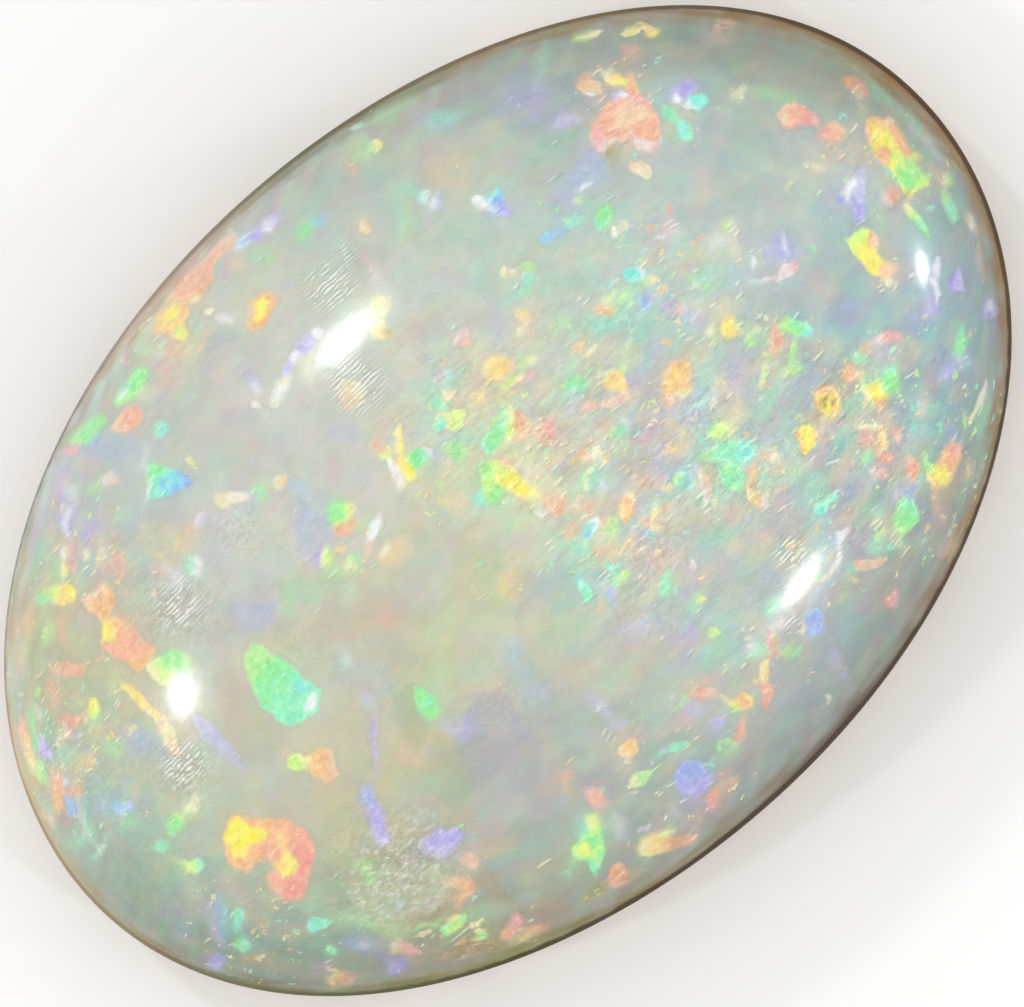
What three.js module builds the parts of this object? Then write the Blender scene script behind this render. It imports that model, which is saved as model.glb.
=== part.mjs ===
// A polished oval opal cabochon: one solid stone with a high dome, a thin rounded girdle and a flat back.
// It lies on its back. The long axis runs along X, the short one along Y, and the dome faces up along Z.
// The origin is the middle of the flat back. Units are millimetres.

import * as THREE from "three";
import { mergeVertices } from "three/addons/utils/BufferGeometryUtils.js";

// Driving dimensions.
const stoneLength = 18.0;
const stoneWidth = 12.5;
const stoneHeight = 5.3;
const girdleHeight = 0.9; // where the outline is widest
const backBevel = 0.35; // width and height of the chamfer round the back, across the short axis
const flankLean = 0.2; // how far the flank leans out between the bevel and the girdle
const shoulderPower = 0.42; // 0.5 is a plain ellipse in section, and less gives fuller shoulders
const handCut = 0.005; // how far the cutter's hand strayed from a true oval, as a share of the radius
const handCutTurn = 135; // degrees, four times the angle from the long axis to the first of four swellings

// How finely the round shapes are cut into facets.
const stepsAround = 96;
const domeSteps = 20;
const flankSteps = 4;

// The outline from the middle of the back to the top of the dome, across the stone's short axis.
function profile() {
  const halfWidth = stoneWidth / 2;
  const domeHeight = stoneHeight - girdleHeight;
  const points = [
    new THREE.Vector2(0, 0),
    new THREE.Vector2(halfWidth - flankLean - backBevel, 0),
  ];
  for (let i = 0; i <= flankSteps; i++) {
    const up = i / flankSteps;
    const inset = flankLean * (1 - up) ** 2;
    points.push(new THREE.Vector2(halfWidth - inset, backBevel + up * (girdleHeight - backBevel)));
  }
  for (let i = 1; i < domeSteps; i++) {
    const angle = (i / domeSteps) * (Math.PI / 2);
    const up = domeHeight * Math.sin(angle) ** (2 * shoulderPower);
    points.push(new THREE.Vector2(halfWidth * Math.cos(angle), girdleHeight + up));
  }
  points.push(new THREE.Vector2(0, stoneHeight));
  return points;
}

// A true oval made a little uneven, as a stone is that was shaped by hand on a wheel.
function strayFromOval(geometry) {
  const position = geometry.getAttribute("position");
  for (let i = 0; i < position.count; i++) {
    const around = Math.atan2(position.getY(i) / stoneWidth, position.getX(i) / stoneLength);
    const swell = 1 + handCut * Math.cos(4 * around - THREE.MathUtils.degToRad(handCutTurn));
    position.setX(i, position.getX(i) * swell);
    position.setY(i, position.getY(i) * swell);
  }
}

function cabochonGeometry() {
  const turned = new THREE.LatheGeometry(profile(), stepsAround);
  turned.rotateX(Math.PI / 2); // the lathe turns about Y, and the stone stands along Z
  turned.scale(stoneLength / stoneWidth, 1, 1);
  turned.deleteAttribute("normal");
  turned.deleteAttribute("uv");
  const merged = mergeVertices(turned, 1e-4);
  strayFromOval(merged);
  merged.computeVertexNormals();
  return merged;
}

const milkyOpal = new THREE.MeshStandardMaterial({
  color: new THREE.Color(0.76, 0.78, 0.72),
  roughness: 0.08,
  metalness: 0,
});

const cabochon = new THREE.Mesh(cabochonGeometry(), milkyOpal);
cabochon.name = "opal_cabochon";

const part = new THREE.Group();
part.add(cabochon);

export default part;
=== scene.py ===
import math

import bmesh
import bpy
import numpy as np
from mathutils import Matrix, Vector, noise


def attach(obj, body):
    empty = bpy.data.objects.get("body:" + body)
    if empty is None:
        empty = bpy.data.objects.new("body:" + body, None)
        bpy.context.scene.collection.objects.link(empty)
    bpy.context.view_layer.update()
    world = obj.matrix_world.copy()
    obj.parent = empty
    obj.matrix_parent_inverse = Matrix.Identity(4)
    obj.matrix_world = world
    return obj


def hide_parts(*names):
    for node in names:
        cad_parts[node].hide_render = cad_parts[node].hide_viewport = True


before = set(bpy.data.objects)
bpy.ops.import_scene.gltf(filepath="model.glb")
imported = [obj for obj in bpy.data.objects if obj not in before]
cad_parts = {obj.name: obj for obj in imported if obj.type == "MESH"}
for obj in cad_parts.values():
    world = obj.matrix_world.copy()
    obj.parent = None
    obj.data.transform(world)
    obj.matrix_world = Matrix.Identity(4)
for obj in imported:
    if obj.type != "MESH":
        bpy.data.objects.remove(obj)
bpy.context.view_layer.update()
print("frame loaded")

mm = 0.001

# The colours of the stone and of its flashes, as they look in plain white light.
palette = {
    "white": "F6F8F8", "cream": "FBF3CC", "butter": "FAF0B6", "yellow": "FFF272", "gold": "FFDC8C",
    "orange": "FAC08A", "peach": "F8D2B0", "salmon": "FAB79A", "coral": "F3A494", "pink": "F3B4B4",
    "blush": "F4E4E4", "lime": "D6FB8C", "apple": "BFF0A0", "green": "97F29A", "mint": "99F3C3",
    "aqua": "8FEFE0", "sky": "98CEFA", "blue": "A2B4F0", "violet": "B7AEF0", "lilac": "CBC6EE",
    "mauve": "B9A6B8", "tan": "C9A878", "bronze": "A68A50", "umber": "6B5040", "olive": "A0A052",
    "straw": "D9DEBC", "mist": "BFCACB", "sage": "B2C4B2", "slate": "A6B5B8", "stone": "CBCCB8",
    "moss": "A6B68A", "dove": "BAB8B0", "sea": "A2BEB4", "rose": "CDBFB2", "pear": "D2D4A7",
    "haze": "BCBED0", "shell": "D0C8BA", "fog": "9DAAA6", "fern": "C4D2AC", "clay": "C9BBA7",
    "dusk": "B3B2B6", "lead": "A1AC9C", "jade": "BBC9BA", "fawn": "CFCAA8", "bark": "8C7652",
    "peat": "6B5752", "buff": "BAA57F", "pewter": "9C9A92", "sandstone": "C4AE92", "reed": "90937F",
    "cinder": "443022", "soot": "3A2414", "linen": "D6D9C8", "chalk": "D8D7D0", "celadon": "C0D6CE",
    "frost": "C4D1CC", "reef": "8DAA95", "sienna": "98794E", "clove": "46300F", "moor": "3A340C",
    "reedEdge": "6F6C4C", "walnut": "7C6A4C", "malt": "946A2E", "brass": "827F24", "slatestone": "6E7458",
    "almond": "D1BA84", "rust": "EC9C6A", "iris": "9F93E2", "teal": "84DFC8", "flint": "A09482",
    "toffee": "8A7044", "ember": "E08A5C", "sun": "FFF04A", "pebble": "D6CFC6", "hay": "9E8C68",
    "flume": "94A2A8", "kelp": "8A9F8D", "lagoon": "82AEBE", "steel": "9DB1C3", "wheat": "CEC79B",
    "osier": "B3C084", "dew": "C1CCBF", "marl": "C4C8B2", "petal": "D2C8B8", "pond": "BECFCB",
    "surf": "97A6A2", "pearl": "9A9E90", "oat": "D7D0BA", "honey": "C89A78", "drab": "7B7251",
}

# The view of the photograph, which the markings are placed by. Turns are in degrees.
photoView = {
    "width": 1024,
    "height": 1007,
    "distance": 150 * mm,
    "lens": 341.8,
    "sensor": 36.0,
    "tiltX": 2.5,
    "tiltY": -4.5,
    "turn": 46.956,
    "aim": (0.075 * mm, -0.161 * mm, 2.0 * mm),
    "scale": 64.4, # picture points to a millimetre at the girdle
}
dot = 1 * mm / photoView["scale"] # a picture point


def colourOf(name):
    # the palette's written colour as the linear light that the shader works in
    written = palette[name]
    parts = [int(written[i:i + 2], 16) / 255 for i in (0, 2, 4)]
    return np.array([c / 12.92 if c <= 0.04045 else ((c + 0.055) / 1.055) ** 2.4 for c in parts])


def smoothStep(low, high, value):
    t = np.clip((value - low) / (high - low), 0, 1)
    return t * t * (3 - 2 * t)


def cameraAxes():
    # where the camera stands, and its axes: right, up and towards itself
    tiltX, tiltY, turn = (math.radians(photoView[name]) for name in ("tiltX", "tiltY", "turn"))
    toCamera = Vector((math.tan(tiltX), math.tan(tiltY), 1)).normalized()
    right = (-toCamera).cross(Vector((math.cos(turn), math.sin(turn), 0))).normalized()
    up = right.cross(-toCamera)
    place = Vector(photoView["aim"]) + toCamera * photoView["distance"]
    return place, right, up, toCamera


def toPhoto(points):
    # where points of the stone fall in the photograph
    place, right, up, toCamera = (np.array(v) for v in cameraAxes())
    away = points - place
    depth = -(away @ toCamera)
    zoom = photoView["lens"] / photoView["sensor"] * photoView["width"]
    across = photoView["width"] / 2 + zoom * (away @ right) / depth
    down = photoView["height"] / 2 - zoom * (away @ up) / depth
    return across, down


# The cut of the stone, in the same sizes as its solid.
cut = {
    "length": 18.0 * mm,
    "width": 12.5 * mm,
    "height": 5.3 * mm,
    "girdle": 0.9 * mm,
    "bevel": 0.35 * mm,
    "flankLean": 0.2 * mm,
    "shoulderPower": 0.42,
    "handCut": 0.005, # how uneven the hand cut leaves the oval
    "handCutTurn": 135,
    "inside": 0.9996, # a hair smaller than the solid
    "steps": {"dome": 900, "flank": 60, "bevel": 30, "back": 200}, # points of the profile's parts
    "meshCuts": 127,
    "backShare": 0.14, # how finely the back is meshed, next to the dome
}


def cutProfile():
    # from the top of the dome to the middle of the back, across the short axis
    steps = cut["steps"]
    half = cut["width"] / 2
    rise = cut["height"] - cut["girdle"]
    angle = np.linspace(0, math.pi / 2, steps["dome"])
    across = half * np.sin(angle)
    height = cut["girdle"] + rise * np.cos(angle) ** (2 * cut["shoulderPower"])
    up = np.linspace(1, 0, steps["flank"])[1:]
    across = np.append(across, half - cut["flankLean"] * (1 - up) ** 2)
    height = np.append(height, cut["bevel"] + up * (cut["girdle"] - cut["bevel"]))
    inner = half - cut["flankLean"] - cut["bevel"]
    bevel = np.linspace(0, 1, steps["bevel"])[1:]
    across = np.append(across, across[-1] + bevel * (inner - across[-1]))
    height = np.append(height, cut["bevel"] * (1 - bevel))
    back = np.linspace(1, 0, steps["back"])[1:]
    across = np.append(across, inner * back)
    height = np.append(height, np.zeros(len(back)))
    return across, height


def meshBall():
    # a cube of fine squares, and where its corners lie when it is swelled to a ball
    mesh = bpy.data.meshes.new("polished_opal")
    bm = bmesh.new()
    bmesh.ops.create_cube(bm, size=2)
    bmesh.ops.subdivide_edges(bm, edges=bm.edges[:], cuts=cut["meshCuts"], use_grid_fill=True)
    bmesh.ops.recalc_face_normals(bm, faces=bm.faces[:])
    for face in bm.faces:
        face.smooth = True
    bm.to_mesh(mesh)
    bm.free()
    corners = np.empty(len(mesh.vertices) * 3)
    mesh.vertices.foreach_get("co", corners)
    ball = np.tan(corners.reshape(-1, 3) * math.pi / 4)
    return mesh, ball / np.linalg.norm(ball, axis=1)[:, None]


def addObject(name, data):
    added = bpy.data.objects.new(name, data)
    bpy.context.scene.collection.objects.link(added)
    return added


def cutStone():
    # the ball is drawn out to the cut, with most of its faces kept for the dome
    mesh, ball = meshBall()
    across, height = cutProfile()
    step = np.hypot(np.diff(across), np.diff(height))
    onBack = height[1:] < cut["bevel"] * 0.01
    share = (across[1:] + across[:-1]) / 2 * step * np.where(onBack, cut["backShare"], 1)
    reach = np.append(0, np.cumsum(share))
    reach /= reach[-1]
    far = (1 - ball[:, 2]) / 2
    around = np.arctan2(ball[:, 1], ball[:, 0])
    out = np.interp(far, reach, across) * cut["inside"]
    out *= 1 + cut["handCut"] * np.cos(4 * around - math.radians(cut["handCutTurn"]))
    x = out * np.cos(around) * cut["length"] / cut["width"]
    points = np.stack([x, out * np.sin(around), np.interp(far, reach, height)], 1)
    mesh.vertices.foreach_set("co", points.ravel())
    mesh.update()
    return addObject("polished_opal", mesh), points


stone, points = cutStone()
print("stone cut:", len(stone.data.polygons), "faces")

# Soft tones of the milky body, each where it lies in the photograph. They also hold painted shade: they are
# darker on the right and lower right, where less light falls.
bodyTonesAndShade = {
    "middle": (505, 545, "straw"),
    "upper left": (280, 300, "linen"),
    "high left": (330, 200, "frost"),
    "left shoulder": (190, 390, "pebble"),
    "left": (100, 490, "mist"),
    "low left": (120, 650, "stone"),
    "lower left": (110, 800, "sage"),
    "left rim": (45, 660, "osier"),
    "below left": (230, 780, "oat"),
    "bottom left": (170, 900, "reef"),
    "bottom": (300, 945, "reef"),
    "bottom right": (470, 900, "hay"),
    "yellow ground": (440, 640, "pear"),
    "pink ground": (370, 610, "petal"),
    "lower middle": (530, 780, "dove"),
    "low right": (640, 800, "surf"),
    "inner right": (640, 640, "dew"),
    "lower right": (800, 690, "slate"),
    "right of middle": (700, 470, "mist"),
    "far right": (940, 400, "lagoon"),
    "right edge": (930, 560, "surf"),
    "blue ground": (770, 180, "pond"),
    "upper right": (880, 300, "steel"),
    "top": (560, 70, "flume"),
    "top right": (780, 60, "kelp"),
    "upper middle": (480, 240, "celadon"),
    "high middle": (450, 160, "marl"),
    "near top": (680, 200, "frost"),
    "inner left": (300, 500, "chalk"),
    "inner upper": (430, 360, "linen"),
    "inner lower": (400, 800, "wheat"),
}

# Larger panes of soft colour, with their corners in the photograph, a tone and a strength.
panes = {
    "rose": ([(285, 612), (300, 600), (345, 598), (350, 650), (330, 642), (300, 655),
        (270, 642)], "clay", 0.4),
    "red": ([(350, 600), (400, 590), (425, 608), (430, 640), (405, 668), (360, 660)], "clay", 0.45),
    "lilac": ([(335, 662), (395, 660), (400, 690), (368, 694), (340, 690)], "haze", 0.4),
    "left rose": ([(215, 670), (240, 665), (255, 700), (290, 735), (268, 762), (235, 755),
        (225, 720)], "clay", 0.6),
    "fern": ([(270, 575), (310, 570), (347, 575), (350, 598), (300, 604), (278, 600)], "fern", 0.7),
    "blue": ([(235, 602), (265, 598), (277, 620), (255, 636), (232, 630)], "haze", 0.5),
    "violet strip": ([(295, 500), (325, 508), (326, 552), (300, 556)], "haze", 0.7),
    "pear point": ([(455, 558), (472, 544), (492, 540), (510, 548), (504, 600), (470, 625),
        (440, 618)], "pear", 0.9),
    "pear stem": ([(440, 612), (472, 620), (462, 680), (448, 702), (418, 684), (416, 655),
        (424, 625)], "pear", 0.8),
    "fawn": ([(440, 518), (475, 520), (478, 546), (445, 548)], "fawn", 0.7),
    "teal": ([(512, 580), (558, 558), (592, 590), (560, 612), (520, 622)], "jade", 0.8),
    "grey": ([(398, 558), (450, 560), (452, 602), (408, 602)], "mist", 0.3),
    "dusk": ([(470, 690), (500, 682), (512, 712), (545, 750), (572, 800), (558, 832), (518, 842),
        (482, 830), (470, 790), (454, 758), (463, 718)], "dusk", 0.85),
    "dusk blue": ([(494, 640), (522, 640), (532, 692), (508, 690), (500, 662)], "sea", 0.4),
    "olive": ([(395, 690), (422, 694), (432, 722), (412, 760), (398, 740)], "moss", 0.45),
    "olive green": ([(430, 738), (456, 742), (472, 790), (460, 812), (424, 800)], "moss", 0.5),
    "brown": ([(390, 770), (430, 800), (450, 832), (398, 822)], "dove", 0.5),
    "heather": ([(545, 652), (600, 660), (650, 642), (702, 640), (704, 700), (642, 722), (600, 740),
        (568, 730)], "shell", 0.15),
    "moss line": ([(548, 620), (592, 608), (592, 632), (540, 660)], "fern", 0.7),
    "lead": ([(490, 832), (560, 812), (592, 832), (582, 880), (540, 902), (500, 890)], "lead", 0.8),
    "haze": ([(350, 880), (400, 858), (442, 862), (450, 900), (400, 922), (350, 910)], "straw", 0.4),
    "blue lilac": ([(640, 542), (720, 520), (782, 560), (770, 620), (700, 632), (650, 602)], "haze", 0.35),
    "mauve": ([(662, 502), (705, 498), (722, 530), (690, 548), (664, 535)], "rose", 0.5),
    "russet": ([(420, 140), (462, 132), (478, 165), (452, 190), (424, 182)], "clay", 0.5),
    "high fern": ([(470, 128), (510, 120), (520, 150), (480, 160)], "fern", 0.3),
    "lilac shade": ([(205, 334), (240, 330), (244, 346), (214, 350)], "haze", 0.7),
    "slate top": ([(430, 80), (480, 60), (540, 40), (560, 130), (500, 118), (440, 130)], "slate", 0.5),
    "sea right": ([(700, 110), (770, 130), (800, 200), (740, 210), (690, 170)], "sea", 0.3),
}

# The play of colour, read from the photograph. A flash is either an oval (across, down, length, width, turn)
# or a shard with its corners and a turn. Its tones follow one another in the direction of the turn, counted
# in degrees from the right, anticlockwise. The last number is how strong it is.
flashes = {
    # upper left
    "rim salmon": ([(163, 302), (180, 280), (205, 257), (222, 240), (233, 231), (239, 240), (228, 253),
        (216, 262), (212, 279), (204, 291), (190, 297), (176, 301)], 45, "orange salmon salmon peach", 0.9),
    "amber patch": ([(158, 312), (172, 303), (183, 297), (189, 312), (182, 322), (191, 336), (182, 343),
        (165, 337), (154, 332)], 90, "orange gold orange", 0.95),
    "amber core": (172, 313, 26, 9, 62, "yellow", 0.8),
    "lemon spot": (180, 333, 14, 15, 0, "lime yellow", 0.95),
    "fern fleck": (195, 298, 15, 7, 20, "butter gold", 0.7),
    "cream fleck": (208, 310, 9, 6, 0, "cream", 0.9),
    "pale fleck": (223, 317, 19, 6, -10, "blush white", 0.85),
    "salmon foot": (181, 353, 26, 14, 10, "orange peach", 0.6),
    "salmon leg": (170, 368, 10, 20, 0, "salmon", 0.45),
    "amber oval": ([(246, 322), (250, 306), (261, 295), (272, 292), (276, 300), (270, 318), (262, 329),
        (250, 330)], 0, "peach orange orange", 0.95),
    "amber heart": ([(254, 318), (256, 303), (263, 298), (269, 303), (266, 315),
        (259, 322)], 0, "yellow", 1),
    "streak white end": (243, 241, 20, 12, 35, "white sky white", 1),
    "streak violet": (257, 234, 20, 12, 25, "violet lilac", 1),
    "streak white tip": (270, 224, 22, 10, 58, "white lilac", 1),
    "streak hook": (278, 217, 9, 6, 20, "lilac", 0.8),
    "leaf green": (304, 231, 14, 22, -8, "green", 0.6),
    "leaf blue": (318, 221, 18, 10, 0, "aqua blue", 0.55),
    "green breath": (262, 255, 26, 16, 10, "green", 0.3),
    "tan dot": (237, 265, 12, 15, 0, "peach", 0.5),
    "peach tick": (365, 225, 10, 16, 10, "butter peach", 0.8),
    "pink thread": (373, 270, 28, 7, -70, "pink blush", 0.5),
    "cream curtain": ([(372, 295), (388, 296), (386, 322), (393, 338), (383, 341), (372, 338),
        (369, 318)], 90, "butter cream butter", 0.85),
    "amber knot": (383, 332, 12, 9, 0, "gold bronze", 0.35),
    # the violet arc and the straw blade below it, beside the upper left lamp's reflection, are partly play of
    # colour and partly a painted reflection of the lamp's rim
    "violet arc": ([(316, 328), (322, 332), (312, 344), (303, 354), (295, 366), (288, 378), (281, 376),
        (286, 362), (294, 350), (303, 338)], 50, "lilac white violet white", 0.95),
    "straw blade": ([(284, 374), (290, 377), (285, 390), (279, 402), (271, 406), (272, 394),
        (277, 384)], 70, "cream white cream", 0.85),
    "straw blade two": (309, 366, 24, 8, 100, "cream", 0.5),
    "violet drop": (253, 383, 24, 9, 118, "white violet", 0.75),
    "green flare": ([(117, 407), (115, 398), (124, 388), (131, 375), (140, 367), (147, 375), (143, 388),
        (136, 397), (126, 402)], 50, "apple green green", 0.95),
    "green flare light": (126, 391, 20, 8, 70, "white mint", 0.7),
    "green flare tip": (144, 394, 12, 8, 0, "butter", 0.5),
    "reed": (155, 352, 17, 6, -5, "apple white", 0.6),
    "salmon patch": ([(118, 414), (128, 407), (140, 406), (144, 418), (136, 428), (122, 432), (111, 430),
        (115, 420)], 30, "peach salmon salmon", 0.95),
    "gold tick": (377, 145, 14, 11, -35, "cream yellow", 0.95),
    "mint tick": (358, 125, 13, 7, 30, "white mint", 0.8),
    "green rim mist": (390, 112, 38, 12, 26, "green", 0.4),
    "green mist": (362, 150, 32, 24, 20, "apple", 0.4),
    "tan speck": (350, 168, 13, 15, 0, "salmon", 0.55),
    "teal mist": (440, 119, 34, 22, 10, "aqua", 0.35),
    "violet mist": (424, 117, 12, 16, 0, "violet", 0.4),
    "small twin mint": (424, 196, 9, 11, 0, "aqua white", 0.9),
    "small twin violet": (436, 203, 11, 15, -10, "white lilac", 0.9),
    "twin stalk": (403, 205, 7, 34, 5, "mint apple", 0.4),
    "twin stalk foot": (405, 226, 10, 16, 0, "apple", 0.5),
    "twin cap": (405, 189, 20, 7, 10, "mint", 0.45),
    "blue shard": ([(489, 194), (498, 188), (505, 198), (512, 214), (503, 215), (493, 209),
        (487, 200)], -60, "aqua sky blue lilac", 1),
    "blue shard wing": (482, 202, 22, 9, -38, "white", 0.95),
    "blue shard glint": (494, 208, 5, 12, 15, "sky white", 0.9),
    "beige breath": (450, 165, 50, 44, 0, "peach", 0.15),
    # left
    "green fin": ([(62, 441), (75, 432), (90, 422), (103, 413), (108, 418), (100, 430), (98, 441),
        (86, 446), (72, 442)], 40, "apple green green", 0.95),
    "pink seed": (70, 452, 19, 10, 5, "pink", 0.85),
    "mint seed": (160, 428, 17, 17, 0, "mint aqua", 0.7),
    "blue breath": (112, 450, 60, 26, 0, "blue", 0.22),
    "sea flash": ([(148, 466), (163, 464), (177, 469), (190, 479), (189, 488), (174, 493), (160, 496),
        (151, 497), (147, 483)], -18, "green mint aqua sky blue", 1),
    "sea flash edge": (150, 488, 6, 22, -8, "white mint", 0.75),
    "sea flash thread": (146, 459, 5, 15, -15, "white", 0.55),
    "lime tick": (192, 462, 17, 6, -58, "butter lime", 0.8),
    "rose seed": (110, 478, 18, 14, 0, "blush peach", 0.65),
    "apple crumb": (95, 487, 15, 6, 15, "apple", 0.5),
    "violet seed": (67, 494, 13, 14, 20, "violet white", 0.6),
    "violet crumb": (61, 471, 10, 9, 0, "violet", 0.45),
    "violet root": (68, 521, 14, 30, 5, "violet white violet", 0.65),
    "violet foot": (92, 527, 22, 11, 0, "violet", 0.4),
    "stroke one": (64, 553, 6, 13, -10, "white cream", 1),
    "stroke two": (71, 547, 9, 20, -5, "salmon", 0.55),
    "stroke three": (63, 570, 7, 15, 15, "butter yellow", 0.9),
    "stroke four": (73, 566, 7, 17, 8, "pink", 0.7),
    "stroke five": (84, 556, 6, 13, 15, "cream", 0.8),
    "stroke six": (101, 553, 5, 20, 0, "cream", 0.55),
    "citrus": ([(46, 590), (54, 584), (66, 582), (76, 591), (73, 601), (59, 605),
        (49, 601)], 0, "lime gold yellow", 0.95),
    "citrus green": (43, 601, 16, 9, 15, "mint green", 0.85),
    "coral block": ([(81, 598), (93, 591), (104, 584), (112, 590), (113, 610), (107, 626), (95, 614),
        (84, 604)], -50, "peach orange orange", 0.9),
    "coral mist": (118, 566, 24, 22, 60, "pink salmon", 0.5),
    "blush streak": (168, 571, 32, 9, -25, "pink blush white", 0.6),
    "mint button": (195, 566, 15, 20, 0, "mint white", 0.85),
    "tan streak": (188, 536, 11, 26, -15, "orange peach", 0.5),
    "rose streak": (200, 520, 9, 18, -20, "blush lilac", 0.8),
    "cream pod": (222, 500, 13, 13, 0, "butter", 0.85),
    "peach pod": (237, 497, 24, 10, 10, "cream blush", 0.95),
    "mint pod": (261, 492, 13, 20, 10, "mint apple", 0.6),
    "tan pod": (281, 482, 18, 12, 0, "cream gold", 0.65),
    "ochre breath": (160, 540, 50, 40, 0, "gold", 0.14),
    "rust thread": (60, 628, 8, 26, 5, "salmon", 0.5),
    "reed pair": (49, 632, 22, 9, 60, "apple", 0.5),
    "rust rim dot": (26, 624, 16, 18, 0, "orange", 0.5),
    "coral ramp": ([(115, 612), (126, 622), (138, 636), (158, 648), (150, 661), (139, 672), (127, 662),
        (111, 655), (101, 645), (107, 628)], -45, "gold salmon salmon orange", 0.95),
    "coral ramp light": (109, 630, 11, 28, -8, "yellow gold", 0.9),
    "coral bar": (70, 670, 36, 14, -3, "salmon", 0.8),
    "coral dot": (55, 692, 11, 13, 0, "salmon", 0.6),
    "lime cloud": ([(145, 666), (158, 656), (175, 650), (189, 655), (191, 667), (181, 678), (162, 687),
        (151, 678)], 20, "butter lime green apple", 0.85),
    "grass streak": (141, 701, 50, 10, -45, "gold", 0.85),
    "grass line one": (134, 696, 34, 3, -45, "yellow", 0.8),
    "grass line two": (150, 712, 24, 3, -48, "butter", 0.7),
    "grass foot": (167, 735, 40, 15, -62, "peach butter peach", 0.8),
    "violet sash": ([(192, 714), (208, 721), (228, 742), (252, 768), (243, 770), (222, 753),
        (200, 734)], -45, "lilac lilac haze", 0.75),
    "lemon drop": ([(88, 712), (90, 698), (96, 697), (100, 712), (96, 720),
        (90, 718)], 90, "lime yellow", 0.95),
    "salmon drop": (68, 722, 22, 14, 10, "coral salmon", 0.65),
    "peach crumb one": (65, 735, 10, 9, 0, "cream peach", 0.7),
    "peach crumb two": (84, 716, 9, 14, 10, "peach", 0.65),
    "mint crumb": (41, 715, 8, 7, 0, "white mint", 0.6),
    "violet bud": (45, 748, 13, 28, 28, "violet lilac violet", 0.95),
    "rim blaze": ([(19, 712), (26, 724), (31, 748), (38, 764), (40, 778), (32, 771), (25, 752),
        (18, 732)], -75, "salmon orange gold butter", 0.85),
    "rim blaze green": (33, 732, 8, 34, 12, "green", 0.6),
    "rim blaze foot": (42, 772, 13, 20, 15, "lime green", 0.75),
    "amber post": ([(52, 776), (60, 771), (65, 788), (64, 808), (55, 816),
        (50, 800)], 90, "orange orange salmon", 0.85),
    "amber post side": (76, 790, 13, 15, 0, "salmon orange", 0.7),
    "lilac crumb": (67, 782, 8, 9, 0, "white lilac", 0.7),
    "blue drop": (72, 806, 12, 17, 0, "sky blue", 0.8),
    "rim wick": (45, 814, 26, 8, -55, "tan peach", 0.8),
    "blue star": (124, 808, 18, 13, 0, "blue white blue", 0.8),
    "blue star glow": (108, 806, 40, 18, 0, "sky", 0.25),
    "mint wick": (87, 824, 6, 36, 8, "white mint", 0.6),
    "mint wick two": (98, 850, 22, 5, 52, "mint white", 0.6),
    "mint wick three": (80, 842, 14, 8, -20, "mint", 0.5),
    "tan breath": (85, 763, 24, 12, 20, "gold", 0.4),
    "blue breath two": (140, 741, 32, 26, 0, "blue", 0.35),
    "apple breath": (115, 748, 16, 14, 0, "apple", 0.45),
    "cream comet": (190, 807, 30, 11, 48, "apple cream cream", 0.85),
    "green comet head": ([(168, 822), (176, 813), (185, 817), (182, 827), (173, 834),
        (168, 829)], 40, "green green lime", 0.9),
    "mint bead": (163, 845, 15, 11, 0, "mint", 0.75),
    "lime leaf": ([(175, 860), (188, 862), (201, 859), (204, 866), (196, 874),
        (184, 869)], 0, "apple lime aqua", 0.9),
    "dim green": (130, 822, 22, 10, 10, "green", 0.35),
    "coral drift": (20, 655, 8, 60, 6, "orange peach salmon", 0.2),
    # bottom left
    "fire patch": ([(232, 815), (246, 817), (266, 820), (290, 822), (305, 829), (314, 846), (315, 862),
        (308, 880), (300, 899), (284, 902), (273, 891), (266, 880), (276, 869), (268, 858), (256, 862),
        (245, 872), (233, 868), (226, 851), (225, 832)], -20, "orange orange salmon coral", 1),
    "fire patch gold": ([(230, 821), (238, 817), (245, 824), (257, 826), (267, 829), (267, 838), (256, 840),
        (249, 848), (240, 857), (229, 848), (226, 835)], 0, "yellow sun yellow", 1),
    "fire patch ember": (244, 852, 20, 8, 20, "yellow gold", 0.8),
    "fire patch lower": ([(283, 851), (290, 855), (297, 866), (290, 875), (280, 876), (272, 867),
        (279, 861)], 0, "gold yellow", 1),
    "fire patch ridge": (283, 840, 10, 26, 10, "gold orange", 0.6),
    "mint egg": (239, 919, 13, 20, 0, "mint aqua", 0.85),
    "mint egg two": (242, 943, 15, 14, 0, "green mint", 0.85),
    "mint egg glint": (241, 945, 8, 4, 35, "mint", 0.4),
    "sea egg": (318, 924, 23, 17, 5, "teal mint", 0.95),
    "sea egg glint": (314, 927, 8, 7, 0, "aqua", 0.35),
    "mint pearl": (331, 950, 11, 10, 0, "green mint", 0.8),
    "mint pearl glint": (331, 950, 4, 6, 0, "mint", 0.5),
    "blue stem": (217, 924, 13, 42, 12, "lilac blue sky", 0.6),
    "violet knob": (216, 962, 17, 14, -40, "iris violet", 0.85),
    "violet knob glint": (219, 965, 8, 3, -35, "violet", 0.3),
    "tan dash": (254, 959, 21, 7, -6, "tan", 0.6),
    "rim ember": (341, 978, 28, 13, -5, "gold rust coral", 0.8),
    "rim ember core": (334, 984, 9, 7, 0, "gold", 1),
    "tan cloud": (262, 926, 17, 15, 0, "tan", 0.35),
    "slate breath": (281, 925, 22, 13, 10, "fog", 0.4),
    "mauve breath": (322, 968, 22, 10, 0, "mauve", 0.5),
    # bottom
    "blue ribbon": ([(362, 787), (372, 786), (376, 800), (384, 816), (389, 840), (381, 848), (374, 838),
        (367, 815), (362, 800)], -75, "blue violet violet lilac", 0.9),
    "violet sail": ([(424, 840), (438, 829), (460, 829), (465, 836), (453, 848), (440, 859),
        (430, 852)], 20, "lilac violet violet", 0.9),
    "violet sail hem": (430, 845, 16, 10, 0, "violet", 0.5),
    "salmon kite": (470, 861, 18, 12, -35, "pink peach", 0.9),
    "rust flake": ([(443, 880), (456, 878), (473, 882), (475, 890), (466, 898), (457, 906), (455, 898),
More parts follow.
